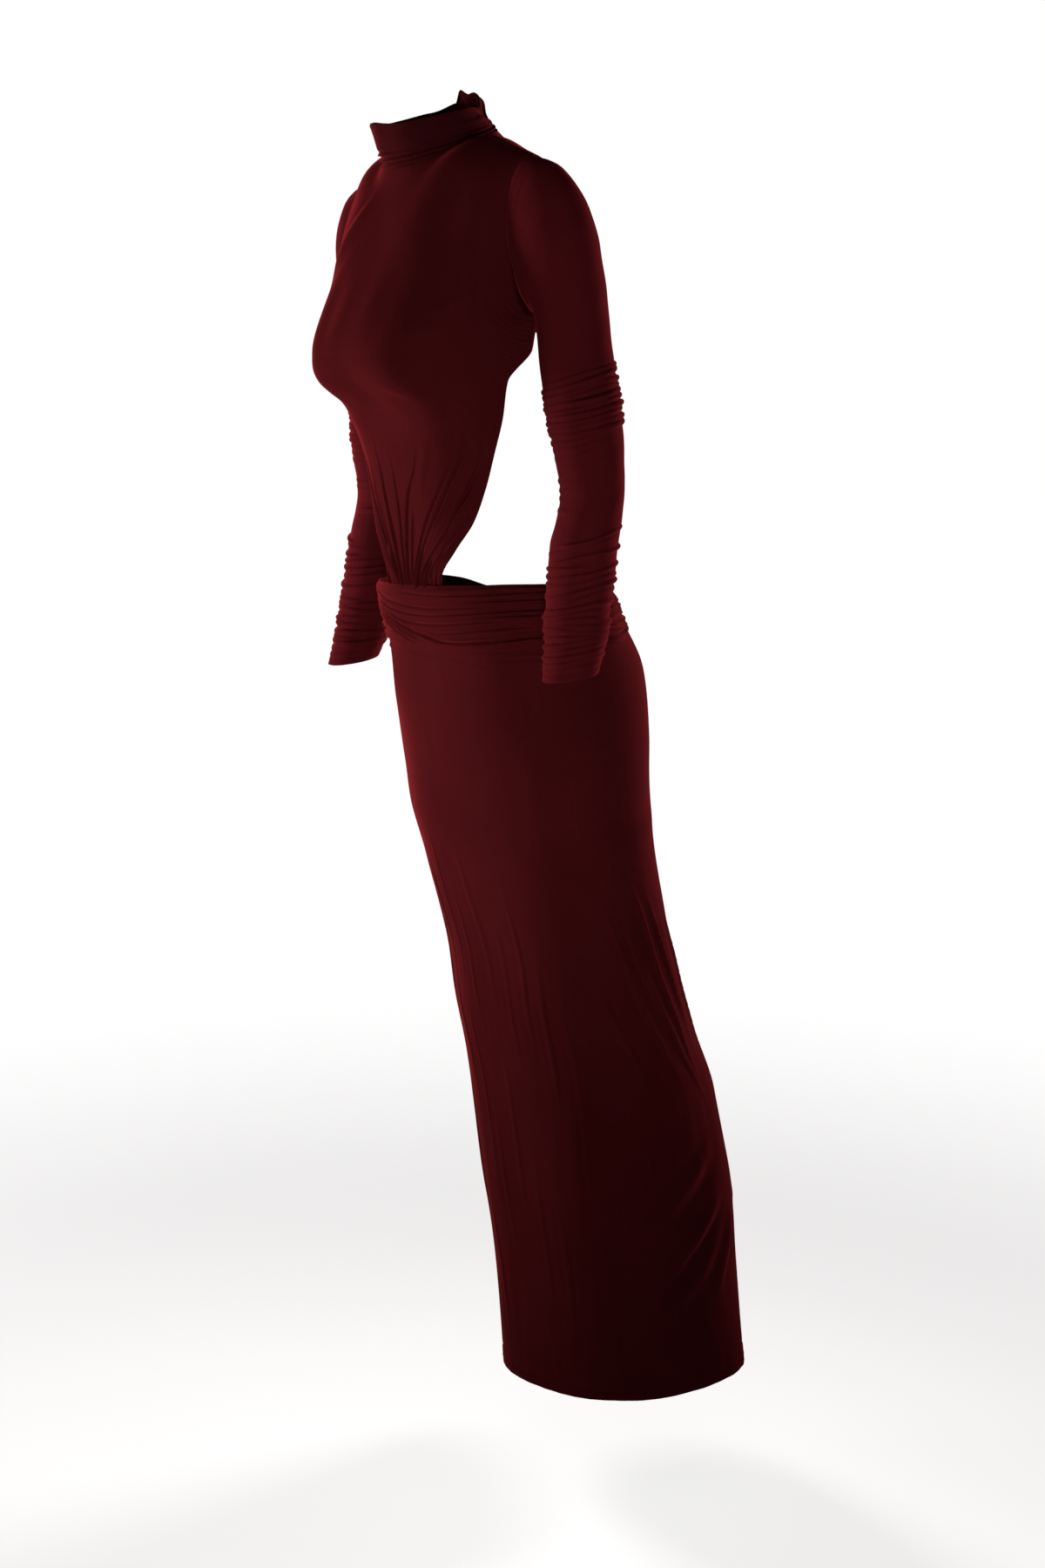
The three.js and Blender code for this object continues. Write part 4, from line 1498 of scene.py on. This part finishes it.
@dataclass
class HipBand(Panel):
    """Draped band with near-level folds that meet at the right front and at the centre back."""

    title: ClassVar[str] = "hip_band_jersey"
    nodes: ClassVar[tuple[str, ...]] = ("hip_band_front", "hip_band_back")
    slot: ClassVar[str] = "hip_band"
    rests_on: ClassVar[tuple[str, ...]] = ("skirt_jersey",)
    hips: Hips
    lift_top: float = 5.0
    lift_foot: float = 2.6
    wall: float = 1.2
    columns: int = 400
    rows: int = 84
    layers: int = 8
    tuck_top: float = 3.2
    tuck_foot: float = 2.2
    uneven: Uneven = Uneven(0.3, 31, 9)
    cut: Cut = Cut(0.86, 0.085, Held.DRAPED)
    folds: tuple[Fold, ...] = (
        # shown left: creases that meet at the right front and fan to near level
        Fold(((-64, -426), (-36, -431), (-14, -437), (0, -439)), 1.5, -2.9, 0.2, 0.15, 0.4),
        Fold(
            ((-18, -425), (8, -430), (35, -432), (63, -436), (95, -447), (120, -462)),
            1.4, -2.3, 0.3, 0.2, 0.3,
        ),
        Fold(((-34, -434), (-12, -441), (8, -445), (30, -445), (52, -446)), 1.4, -3.0, 0.3, 0.1, 0.35),
        Fold(
            ((-36, -439), (-14, -449), (4, -453), (26, -452), (50, -453), (74, -459), (100, -472)),
            1.4, -3.4, 0.3, 0.1, 0.3,
        ),
        Fold(
            ((-36, -444), (-16, -456), (0, -463), (20, -463), (40, -462), (58, -465)),
            1.5, -3.6, 0.3, 0.1, 0.3,
        ),
        Fold(
            ((-36, -449), (-18, -461), (-6, -470), (4, -478), (14, -484), (34, -485), (60, -485), (86, -491)),
            1.9, -4.2, 0.35, 0.1, 0.25,
        ),
        Fold(((-33, -455), (-18, -466), (-6, -476), (6, -486)), 1.4, -3.4, 0.3, 0.1, 0.3),
        Fold(((-30, -463), (-16, -474), (-6, -482), (2, -488)), 1.4, -2.9, 0.3, 0.1, 0.3),
        Fold(((2, -474), (16, -473), (34, -471), (54, -472), (74, -477)), 1.6, -3.1, 0.2, 0.2, 0.4),
        Fold(((10, -479), (30, -479), (50, -478)), 1.4, -2.2, 0.2, 0.3, 0.3),
        Fold(((24, -438), (46, -440), (74, -447), (104, -462), (128, -477)), 1.5, -2.6, 0.2, 0.3, 0.3),
        Fold(((30, -457), (56, -459), (84, -468), (112, -482)), 1.5, -2.7, 0.2, 0.3, 0.3),
        # behind the sleeve and on to the centre back
        Fold(((64, -452), (90, -463), (116, -480), (140, -493)), 1.6, -3.2, 0.2, 0.3, 0.2),
        Fold(((74, -466), (92, -476), (110, -487), (128, -494), (146, -498)), 1.8, -4.2, 0.3, 0.3, 0.2),
        Fold(((78, -478), (98, -490), (118, -500), (140, -504)), 1.6, -3.6, 0.2, 0.3, 0.2),
        Fold(((68, -492), (90, -500), (112, -507), (134, -507)), 1.6, -2.9, 0.2, 0.3, 0.2),
        Fold(((100, -452), (120, -469), (142, -485), (168, -495)), 1.6, -3.1, 0.2, 0.3, 0.2),
        # the far side, the same cut drawn from the other end
        Fold(((-62, -436), (-48, -441), (-34, -444)), 1.5, -2.6, 0.2, 0.3, 0.1),
        Fold(((-98, -446), (-70, -446), (-48, -451), (-32, -455)), 1.6, -3.4, 0.2, 0.3, 0.1),
        Fold(((-120, -468), (-92, -461), (-64, -459), (-36, -460)), 1.6, -3.5, 0.2, 0.3, 0.1),
        Fold(((-110, -485), (-84, -477), (-58, -473), (-34, -467)), 1.6, -3.2, 0.2, 0.3, 0.1),
        Fold(((-96, -497), (-70, -488), (-48, -482), (-30, -474)), 1.5, -3.0, 0.2, 0.3, 0.1),
        Fold(((-132, -480), (-106, -472), (-80, -468), (-54, -466)), 1.6, -2.3, 0.2, 0.3, 0.2),
        Fold(((-84, -433), (-60, -432), (-36, -436)), 1.5, -2.2, 0.2, 0.3, 0.2),
        Fold(((-104, -454), (-124, -472), (-144, -487), (-168, -496)), 1.6, -3.0, 0.2, 0.3, 0.2),
        Fold(((-120, -496), (-140, -500), (-162, -503)), 1.6, -2.7, 0.2, 0.3, 0.2),
        Fold(((138, -502), (160, -503), (182, -504), (204, -503), (224, -500)), 1.6, -3.0, 0, 0.2, 0.2),
        Fold(((150, -493), (168, -496), (186, -497), (206, -495)), 1.6, -2.9, 0, 0.2, 0.2),
    )

    def sheet(self) -> Sheet:
        """Draws the band.

        Returns:
            Its cloth grid.
        """
        turn = np.linspace(-180, 180, self.columns, endpoint=False)[None, :]
        v = np.linspace(0, 1, self.rows)[:, None]
        top, foot = self.hips.top(turn), self.hips.foot(turn)
        z = mix(top, foot, v)
        turn = turn + 0 * v
        base = self.hips.point(turn, z, mix(self.lift_top, self.lift_foot, v) + 0 * turn)
        rise = folds_around(self.folds, turn, z)
        rise = rise + 0.35 * np.cos(2 * math.pi * (v * self.layers + 0.5 * np.sin(turn * RAD * 2)))
        rise = rise + self.uneven.at(turn * PER_TURN * 0.12, z)
        rise = rise - self.tuck_top * bump(v, 0.045) - self.tuck_foot * bump(1 - v, 0.05)
        wide = np.linspace(0, self.cut.width, self.columns + 1)[None, :] + 0 * v
        chart = np.stack([wide, self.cut.length * v + 0 * wide], axis=-1)
        return Sheet(base, rise, chart, True, self.wall)


@dataclass
class Skirt(Panel):
    """Long tube skirt with soft folds behind the knees and fine ripples down the lower front."""

    title: ClassVar[str] = "skirt_jersey"
    nodes: ClassVar[tuple[str, ...]] = ("skirt_front", "skirt_back")
    slot: ClassVar[str] = "skirt"
    rests_on: ClassVar[tuple[str, ...]] = ("hip_band_jersey",)
    hips: Hips
    hem_z: float = -1390
    hem_back: float = -0.13
    hem_left: float = 0.055
    under_band: float = 6
    hem: float = 20
    wall: float = 1.0
    around: Path = ((-180, 2.4), (-140, 1.7), (-50, 0.8), (52, 1.15), (165, 2.4), (180, 0))
    spacing: Path = ((0.0, 0.0022), (0.045, 0.0085), (0.965, 0.0018), (1.0, 0.0))
    broad: Uneven = Uneven(1.0, 41, 80)
    fine: Uneven = Uneven(0.12, 43, 22)
    edge: Uneven = Uneven(0.35, 47, 26)
    cut: Cut = Cut(0.88, 0.9, Held.HUNG)
    folds: tuple[Fold, ...] = (
        # behind the knee on the shown side, running down and back
        Fold(((86, -745), (93, -800), (100, -880), (109, -960), (116, -1060)), 3.6, 3.0, 0.25, 0.3, 0.4),
        Fold(((72, -790), (80, -860), (90, -950), (101, -1040)), 3.6, 2.5, 0.25, 0.35, 0.4),
        Fold(((99, -780), (107, -850), (115, -930), (124, -1020)), 3.4, 3.0, 0.25, 0.3, 0.4),
        Fold(((88, -850), (97, -920), (107, -1000), (119, -1090)), 3.2, 2.5, -0.2, 0.3, 0.4),
        Fold(((80, -800), (88, -880), (97, -960)), 2.6, -2.0, 0.0, 0.3, 0.4),
        Fold(((62, -870), (71, -940), (84, -1030)), 4.0, 1.6, 0, 0.4, 0.4),
        Fold(((116, -800), (124, -870), (133, -960), (142, -1050)), 4.0, 2.9, 0.2, 0.35, 0.4),
        Fold(((136, -820), (142, -900), (150, -990)), 4.4, 2.3, 0, 0.35, 0.4),
        Fold(((158, -800), (160, -880), (166, -980)), 5.0, 2.3, 0, 0.35, 0.4),
        Fold(((178, -830), (180, -900), (178, -1000)), 5.0, 2.0, 0, 0.35, 0.4),
        # the same on the other side
        Fold(((-90, -760), (-95, -820), (-102, -900), (-112, -990)), 4.0, 2.6, -0.25, 0.35, 0.4),
        Fold(((-76, -810), (-82, -870), (-92, -960)), 4.0, 2.2, 0, 0.35, 0.4),
        Fold(((-104, -800), (-110, -870), (-118, -950), (-126, -1040)), 4.0, 2.6, -0.25, 0.35, 0.4),
        Fold(((-124, -810), (-130, -900), (-138, -1000)), 4.4, 2.2, 0, 0.35, 0.4),
        Fold(((-146, -790), (-150, -880), (-156, -980)), 5.0, 2.2, 0, 0.35, 0.4),
        # folds across the calf, low at the back
        Fold(((114, -1098), (96, -1124), (78, -1154), (60, -1184), (48, -1204)), 8.0, 5.5, 0.3, 0.3, 0.4),
        Fold(((116, -1126), (96, -1156), (76, -1190), (58, -1222)), 7.0, -3.4, 0, 0.3, 0.4),
        Fold(((116, -1152), (96, -1188), (76, -1226), (58, -1262)), 8.0, 5.5, 0.3, 0.3, 0.4),
        Fold(((112, -1186), (92, -1222), (72, -1260), (56, -1292)), 7.0, -3.2, 0, 0.3, 0.4),
        Fold(((106, -1216), (84, -1256), (64, -1298)), 9.0, 4.6, 0.2, 0.3, 0.4),
        Fold(((126, -1190), (112, -1236), (96, -1286)), 9.0, 3.4, 0, 0.3, 0.4),
        Fold(((98, -1036), (78, -1066), (56, -1094)), 7.0, 2.4, 0, 0.3, 0.4),
        Fold(((-112, -1092), (-94, -1130), (-74, -1172), (-58, -1204)), 9.0, 4.2, -0.3, 0.3, 0.4),
        Fold(((-104, -1140), (-84, -1178), (-66, -1216)), 8.0, -2.4, 0, 0.3, 0.4),
        Fold(((-112, -1180), (-92, -1226), (-72, -1276)), 9.0, 4.0, 0, 0.3, 0.4),
        Fold(((148, -1120), (166, -1172), (184, -1236)), 10.0, 3.6, 0, 0.3, 0.4),
        Fold(((136, -1180), (152, -1226), (170, -1284)), 9.0, 3.0, 0, 0.3, 0.4),
        # fine uneven ripples down the lower front
        Fold(((-46, -860), (-41, -1000), (-40, -1130)), 3.6, 1.0, 0, 0.4, 0.4),
        Fold(((-40, -760), (-36, -850), (-32, -960)), 2.7, 1.2, 0.2, 0.4, 0.4),
        Fold(((-34, -980), (-31, -1090), (-30, -1220)), 3.3, 1.1, 0.2, 0.4, 0.4),
        Fold(((-31, -720), (-29, -800), (-25, -880)), 2.5, 1.4, -0.2, 0.4, 0.4),
        Fold(((-27, -840), (-24, -940), (-21, -1060)), 2.7, 1.4, 0.2, 0.4, 0.4),
        Fold(((-24, -1120), (-22, -1230), (-21, -1340)), 3.3, 0.9, 0, 0.4, 0.3),
        Fold(((-21, -700), (-19, -790), (-15, -900)), 2.5, 1.4, -0.2, 0.3, 0.4),
        Fold(((-16, -900), (-14, -1010), (-11, -1130)), 2.5, 1.2, 0.2, 0.3, 0.4),
        Fold(((-12, -760), (-9, -850), (-5, -950)), 2.5, 1.5, 0, 0.4, 0.4),
        Fold(((-8, -1010), (-6, -1120), (-5, -1230)), 2.8, 1.0, 0, 0.4, 0.4),
        Fold(((-3, -700), (0, -800), (4, -920)), 2.5, 1.5, -0.2, 0.3, 0.4),
        Fold(((1, -940), (3, -1050), (4, -1170)), 2.7, 1.1, 0.2, 0.3, 0.4),
        Fold(((8, -780), (11, -880), (13, -1000)), 2.7, 1.1, 0.2, 0.4, 0.4),
        Fold(((13, -1060), (13, -1170), (12, -1290)), 3.3, 0.8, 0, 0.4, 0.4),
        Fold(((18, -740), (21, -850), (23, -980)), 3.0, 1.1, -0.2, 0.4, 0.4),
        Fold(((29, -820), (31, -930), (31, -1060)), 3.6, 0.9, 0, 0.4, 0.4),
        Fold(((42, -900), (43, -1020), (41, -1160)), 4.2, 0.8, 0, 0.4, 0.4),
        Fold(((24, -1120), (23, -1220), (22, -1330)), 4.2, 0.6, 0, 0.4, 0.3),
        # under the seat and below the band
        Fold(((50, -698), (70, -702), (92, -708), (116, -706), (140, -700)), 12.0, -2.4, 0.2, 0.35, 0.35),
        Fold(((46, -618), (62, -626), (80, -632), (100, -631)), 7.0, -1.8, 0.3, 0.35, 0.35),
        Fold(((-52, -700), (-92, -706), (-140, -700)), 12.0, -2.0, 0, 0.35, 0.35),
        Fold(((-64, -700), (-96, -706), (-122, -703)), 3.6, -1.2, 0.2, 0.35, 0.35),
        Fold(((10, -497), (30, -499), (52, -503), (80, -514)), 2.0, 1.4, 0.3, 0.3, 0.3),
        Fold(((22, -507), (44, -510), (66, -515), (88, -525)), 2.0, 1.1, 0.3, 0.3, 0.3),
        Fold(((-14, -498), (2, -503), (20, -508), (40, -518)), 1.8, 0.9, 0.3, 0.3, 0.3),
        Fold(((-60, -504), (-36, -499), (-14, -500), (6, -503)), 2.0, 1.2, 0.3, 0.3, 0.3),
        Fold(((44, -560), (48, -620), (47, -690), (44, -760)), 16.0, 1.0, 0, 0.4, 0.4),
    )

    def sheet(self) -> Sheet:
        """Draws the skirt.

        Returns:
            Its cloth grid.
        """
        turn = spaced(*self.around)[None, :-1]
        wide = (np.append(turn, 180.0)[None, :] + 180.0) / 360.0 * self.cut.width
        v = spaced(*self.spacing)[:, None]
        at = self.hips.point(turn, np.full(turn.shape, self.hem_z))
        hem = self.hem_z + self.hem_back * at[..., 1] + self.hem_left * at[..., 0]
        waist = self.hips.foot(turn) + self.under_band
        z = mix(waist, hem, v)
        turn = turn + 0 * v
        base = self.hips.point(turn, z)
        wide_mm = turn * PER_TURN
        lower = ease((-740 - z) / 260)
        rise = folds_around(self.folds, turn, z)
        rise = rise + (0.3 + 0.5 * lower) * self.broad.at(wide_mm, z * 0.35)
        rise = rise + lower * self.fine.at(wide_mm, z * 0.1)
        up = z - hem
        rise = rise + hem_step(up, self.hem, 1.6) - 0.4 * bump(up - self.hem - 2.5, 2.0)
        rise = rise + self.edge.at(wide_mm, 0 * z) * (1 - ease(up / 60))
        chart = np.stack(np.broadcast_arrays(wide, self.cut.length * v), axis=-1)
        return Sheet(base, rise, chart, True, self.wall)


# Stitching


@dataclass
class Stitching:
    """Twin-needle rows at the hems and a single row along each cap seam, as Geometry Nodes.

    Attributes:
        pitch: Distance between two stitches, mm.
        length: Length of a stitch, mm.
        thread: Radius of the thread, mm.
    """

    pitch: float = 3.2
    length: float = 2.6
    thread: float = 0.2

    def tree(self, material: bpy.types.Material) -> bpy.types.NodeTree:
        """Tree that lays stitches along the edges of its input.

        Args:
            material: Thread finish.

        Returns:
            The node tree, with named inputs for its sizes in metres.
        """
        tree = bpy.data.node_groups.new("stitch_rows", "GeometryNodeTree")
        face = tree.interface
        face.new_socket("Geometry", in_out="INPUT", socket_type="NodeSocketGeometry")
        for name in ("Pitch", "Stitch length", "Thread radius"):
            face.new_socket(name, in_out="INPUT", socket_type="NodeSocketFloat")
        face.new_socket("Geometry", in_out="OUTPUT", socket_type="NodeSocketGeometry")
        given = add_node(tree, "NodeGroupInput").outputs
        curve = add_node(tree, "GeometryNodeMeshToCurve", {0: given["Geometry"]}).outputs[0]
        steps = {"Curve": curve, "Length": given["Pitch"]}
        along = add_node(tree, "GeometryNodeInputTangent").outputs[0]
        half = combine(tree, "MULTIPLY", given["Stitch length"], 0.5)
        radius = given["Thread radius"]
        turned = add_node(tree, "FunctionNodeAlignRotationToVector", {"Vector": along}, axis="X")
        bead = add_node(tree, "GeometryNodeMeshIcoSphere", {"Radius": 1.0, "Subdivisions": 1})
        inputs = {
            "Points": add_node(tree, "GeometryNodeResampleCurve", steps, mode="LENGTH").outputs[0],
            "Instance": bead.outputs[0],
            "Rotation": turned.outputs[0],
            "Scale": add_node(tree, "ShaderNodeCombineXYZ", {0: half, 1: radius, 2: radius}).outputs[0],
        }
        placed = add_node(tree, "GeometryNodeInstanceOnPoints", inputs).outputs[0]
        real = add_node(tree, "GeometryNodeRealizeInstances", {0: placed}).outputs[0]
        dyed = add_node(tree, "GeometryNodeSetMaterial", {"Geometry": real, "Material": material})
        add_node(tree, "NodeGroupOutput", {0: dyed.outputs[0]})
        return tree

    def build(self, rows: list[Points], material: bpy.types.Material) -> bpy.types.Object:
        """All rows as one plain mesh.

        Args:
            rows: Lines of points, mm, upright dress.
            material: Thread finish.

        Returns:
            The stitches.
        """
        points, edges = [], []
        for row in rows:
            start = len(points)
            points.extend(lean(row).tolist())
            edges.extend((k, k + 1) for k in range(start, len(points) - 1))
        guide = bpy.data.meshes.new("stitch_guide")
        guide.from_pydata(points, edges, [])
        carrier = bpy.data.objects.new("stitch_guide", guide)
        bpy.context.scene.collection.objects.link(carrier)
        modifier = carrier.modifiers.new("stitches", "NODES")
        tree = self.tree(material)
        modifier.node_group = tree
        sizes = {"Pitch": self.pitch, "Stitch length": self.length, "Thread radius": self.thread}
        for socket in tree.interface.items_tree:
            if socket.name in sizes:
                modifier[socket.identifier] = sizes[socket.name] / 1000.0
        graph = bpy.context.evaluated_depsgraph_get()
        mesh = bpy.data.meshes.new_from_object(carrier.evaluated_get(graph), depsgraph=graph)
        mesh.name = "seam_stitches"
        mesh.materials.clear()
        mesh.materials.append(material)
        mesh.shade_smooth()
        stitches = bpy.data.objects.new("seam_stitches", mesh)
        bpy.context.scene.collection.objects.link(stitches)
        bpy.data.objects.remove(carrier)
        bpy.data.meshes.remove(guide)
        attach(stitches, "root")
        LOG.info("%s: %d faces", stitches.name, len(mesh.polygons))
        return stitches


# Stage


@dataclass
class Studio:
    """Pale floor that glows as painted light, soft lights and the camera.

    Attributes:
        floor_z: Level of the floor under the hem, metres.
        floor_radius: Reach of the floor, metres.
        floor_sides: Sides of its outline.
        camera_at: Place of the camera, metres.
        camera_turn: Its turn about x, y and z, degrees.
        light_aim: Where the soft boxes point, metres.
        lens: Focal length, mm.
        sensor: Height of the sensor, mm.
    """

    floor_z: float = -1.47
    floor_radius: float = 14.0
    floor_sides: int = 48
    camera_at: tuple[float, float, float] = (2.3211, -1.6216, -0.10925)
    camera_turn: tuple[float, float, float] = (78.929, -0.854, 53.182)
    light_aim: tuple[float, float, float] = (0.02, 0.06, -0.38)
    lens: float = 59.22
    sensor: float = 36.0

    def floor(self) -> None:
        """Large pale floor that glows as painted light, its glow weaker near the dress as a painted shade."""
        mesh = bpy.data.meshes.new("studio_floor")
        turns = [2 * math.pi * k / self.floor_sides for k in range(self.floor_sides)]
        ring = [(self.floor_radius * math.cos(a), self.floor_radius * math.sin(a), 0.0) for a in turns]
        mesh.from_pydata(ring, [], [tuple(range(self.floor_sides))])
        material, tree = blank("pale_floor_painted_glow")
        place = add_node(tree, "ShaderNodeTexCoord").outputs["Object"]
        out = add_node(tree, "ShaderNodeVectorMath", {0: place}, operation="LENGTH").outputs["Value"]
        inputs = {
            "Base Color": ramp(tree, noise(tree, place, 3.0), "f2f1ef", "f8f7f5"),
            "Roughness": 0.85,
            # the floor glows as painted light, and glows less near the dress as a painted shade
            "Emission Color": linear("fdfcfc"),
            "Emission Strength": span(
                tree, out, (0.3, 2.2), (0.68, 0.95), interpolation_type="SMOOTHSTEP"
            ),
        }
        surface(tree, inputs)
        mesh.materials.append(material)
        floor = bpy.data.objects.new("studio_floor", mesh)
        floor.location = (0.1, 0.2, self.floor_z)
        floor.visible_diffuse = False
        bpy.context.scene.collection.objects.link(floor)

    def light(
        self,
        name: str,
        at: tuple[float, float, float],
        size: tuple[float, float],
        power: float,
        spread: float,
    ) -> None:
        """Soft box that faces the dress.

        Args:
            name: Light name.
            at: Its place, metres.
            size: Width and height, metres.
            power: Watts.
            spread: Angle of its cone, degrees.
        """
        data = bpy.data.lights.new(name, "AREA")
        data.shape = "RECTANGLE"
        data.size, data.size_y = size
        data.energy = power
        data.spread = spread * RAD
        lamp = bpy.data.objects.new(name, data)
        dx, dy, dz = (aim - place for aim, place in zip(self.light_aim, at))
        flat = math.hypot(dx, dy)
        lamp.location = at
        lamp.rotation_euler = (math.pi / 2 + math.atan2(dz, flat), 0, math.atan2(dy, dx) - math.pi / 2)
        bpy.context.scene.collection.objects.link(lamp)

    def world(self) -> None:
        """Pale surroundings, brighter to the eye than as a light, and brighter from below."""
        world = bpy.data.worlds.new("pale_room")
        bpy.context.scene.world = world
        world.use_nodes = True
        tree = world.node_tree
        tree.nodes.clear()
        seen = add_node(tree, "ShaderNodeLightPath").outputs["Is Camera Ray"]
        way = add_node(tree, "ShaderNodeTexCoord").outputs["Generated"]
        level = add_node(tree, "ShaderNodeSeparateXYZ", {0: way}).outputs["Z"]
        power = span(tree, level, (-0.4, 0.6), (0.25, 0.09))
        white = linear("ffffff")
        room, shown = (
            add_node(tree, "ShaderNodeBackground", {"Color": white, "Strength": strength}).outputs[0]
            for strength in (power, 1.0)
        )
        both = add_node(tree, "ShaderNodeMixShader", {0: seen, 1: room, 2: shown})
        add_node(tree, "ShaderNodeOutputWorld", {"Surface": both.outputs[0]})

    def camera(self) -> None:
        """Camera at the photograph's viewing angle."""
        data = bpy.data.cameras.new("studio_camera")
        data.lens = self.lens
        data.sensor_fit = "VERTICAL"
        data.sensor_height = self.sensor
        data.clip_end = 60.0
        eye = bpy.data.objects.new("studio_camera", data)
        eye.location = self.camera_at
        eye.rotation_euler = tuple(a * RAD for a in self.camera_turn)
        bpy.context.scene.collection.objects.link(eye)
        bpy.context.scene.camera = eye

    def build(self) -> None:
        """Whole studio."""
        self.camera()
        self.floor()
        self.world()
        self.light("soft_box_left", (-1.95, -1.45, -0.75), (0.8, 0.9), 9.4, 48.0)
        self.light("soft_box_right", (0.0, 2.5, -0.2), (0.8, 1.0), 13.0, 50.0)
        self.light("soft_box_back_left", (-2.4, 0.3, -0.1), (0.8, 1.0), 11.0, 50.0)
        self.light("soft_box_front", (1.8, -1.6, -1.1), (1.2, 0.7), 2.6, 42.0)
        view = bpy.context.scene.view_settings
        view.view_transform = "Standard"
        view.look = "None"


def seam_rows(front: Sheet, back: Sheet, sleeves: list[Sheet], skirt: Sheet) -> list[Points]:
    """Lines that the machine sewed.

    Args:
        front: Bodice front grid.
        back: Upper back grid.
        sleeves: Both sleeve grids.
        skirt: Skirt grid.

    Returns:
        Lines of points, mm.
    """
    twin = (-6, -8)
    rows = [back.line(row=row) for row in twin]
    # the open side edges of the front are hemmed from under the bust, row 96, to the tail
    for column in (4, 7):
        for k in (column, -1 - column):
            rows.append(front.line(column=k)[96:])
    for sleeve in sleeves:
        rows.extend(sleeve.line(row=row) for row in (3, *twin))
    rows.extend(skirt.line(row=row) for row in (-6, -7))
    return rows


def main() -> None:
    """Builds the dress in order and reports each piece."""
    logging.basicConfig(level=logging.INFO, format="%(name)s %(message)s")
    Studio().build()
    jersey = Jersey("viscose_jersey_single").build()
    # the sleeves take a lighter copy of the same jersey, a painted light
    ruched = Jersey("viscose_jersey_ruched_painted_light", deep="3a0c0f", lit="4c1216").build()
    # the doubled collar takes a darker copy of the same jersey, a painted shade
    doubled_painted_shade = Jersey("viscose_jersey_doubled_painted_shade", deep="2c0a0c", lit="3b0e11", relief=0.06, sheen=0.13).build()
    shoulders = Shoulders()
    hips = Hips()
    Collar(shoulders).build(doubled_painted_shade)
    front = BodiceFront(shoulders).build(jersey)
    back = BackYoke(shoulders).build(jersey)
    sleeves = [Sleeve(1, 3).build(ruched), Sleeve(-1, 8).build(ruched)]
    HipBand(hips).build(jersey)
    skirt = Skirt(hips).build(jersey)
    Stitching().build(seam_rows(front, back, sleeves, skirt), Thread().build())


if __name__ == "__main__":
    main()
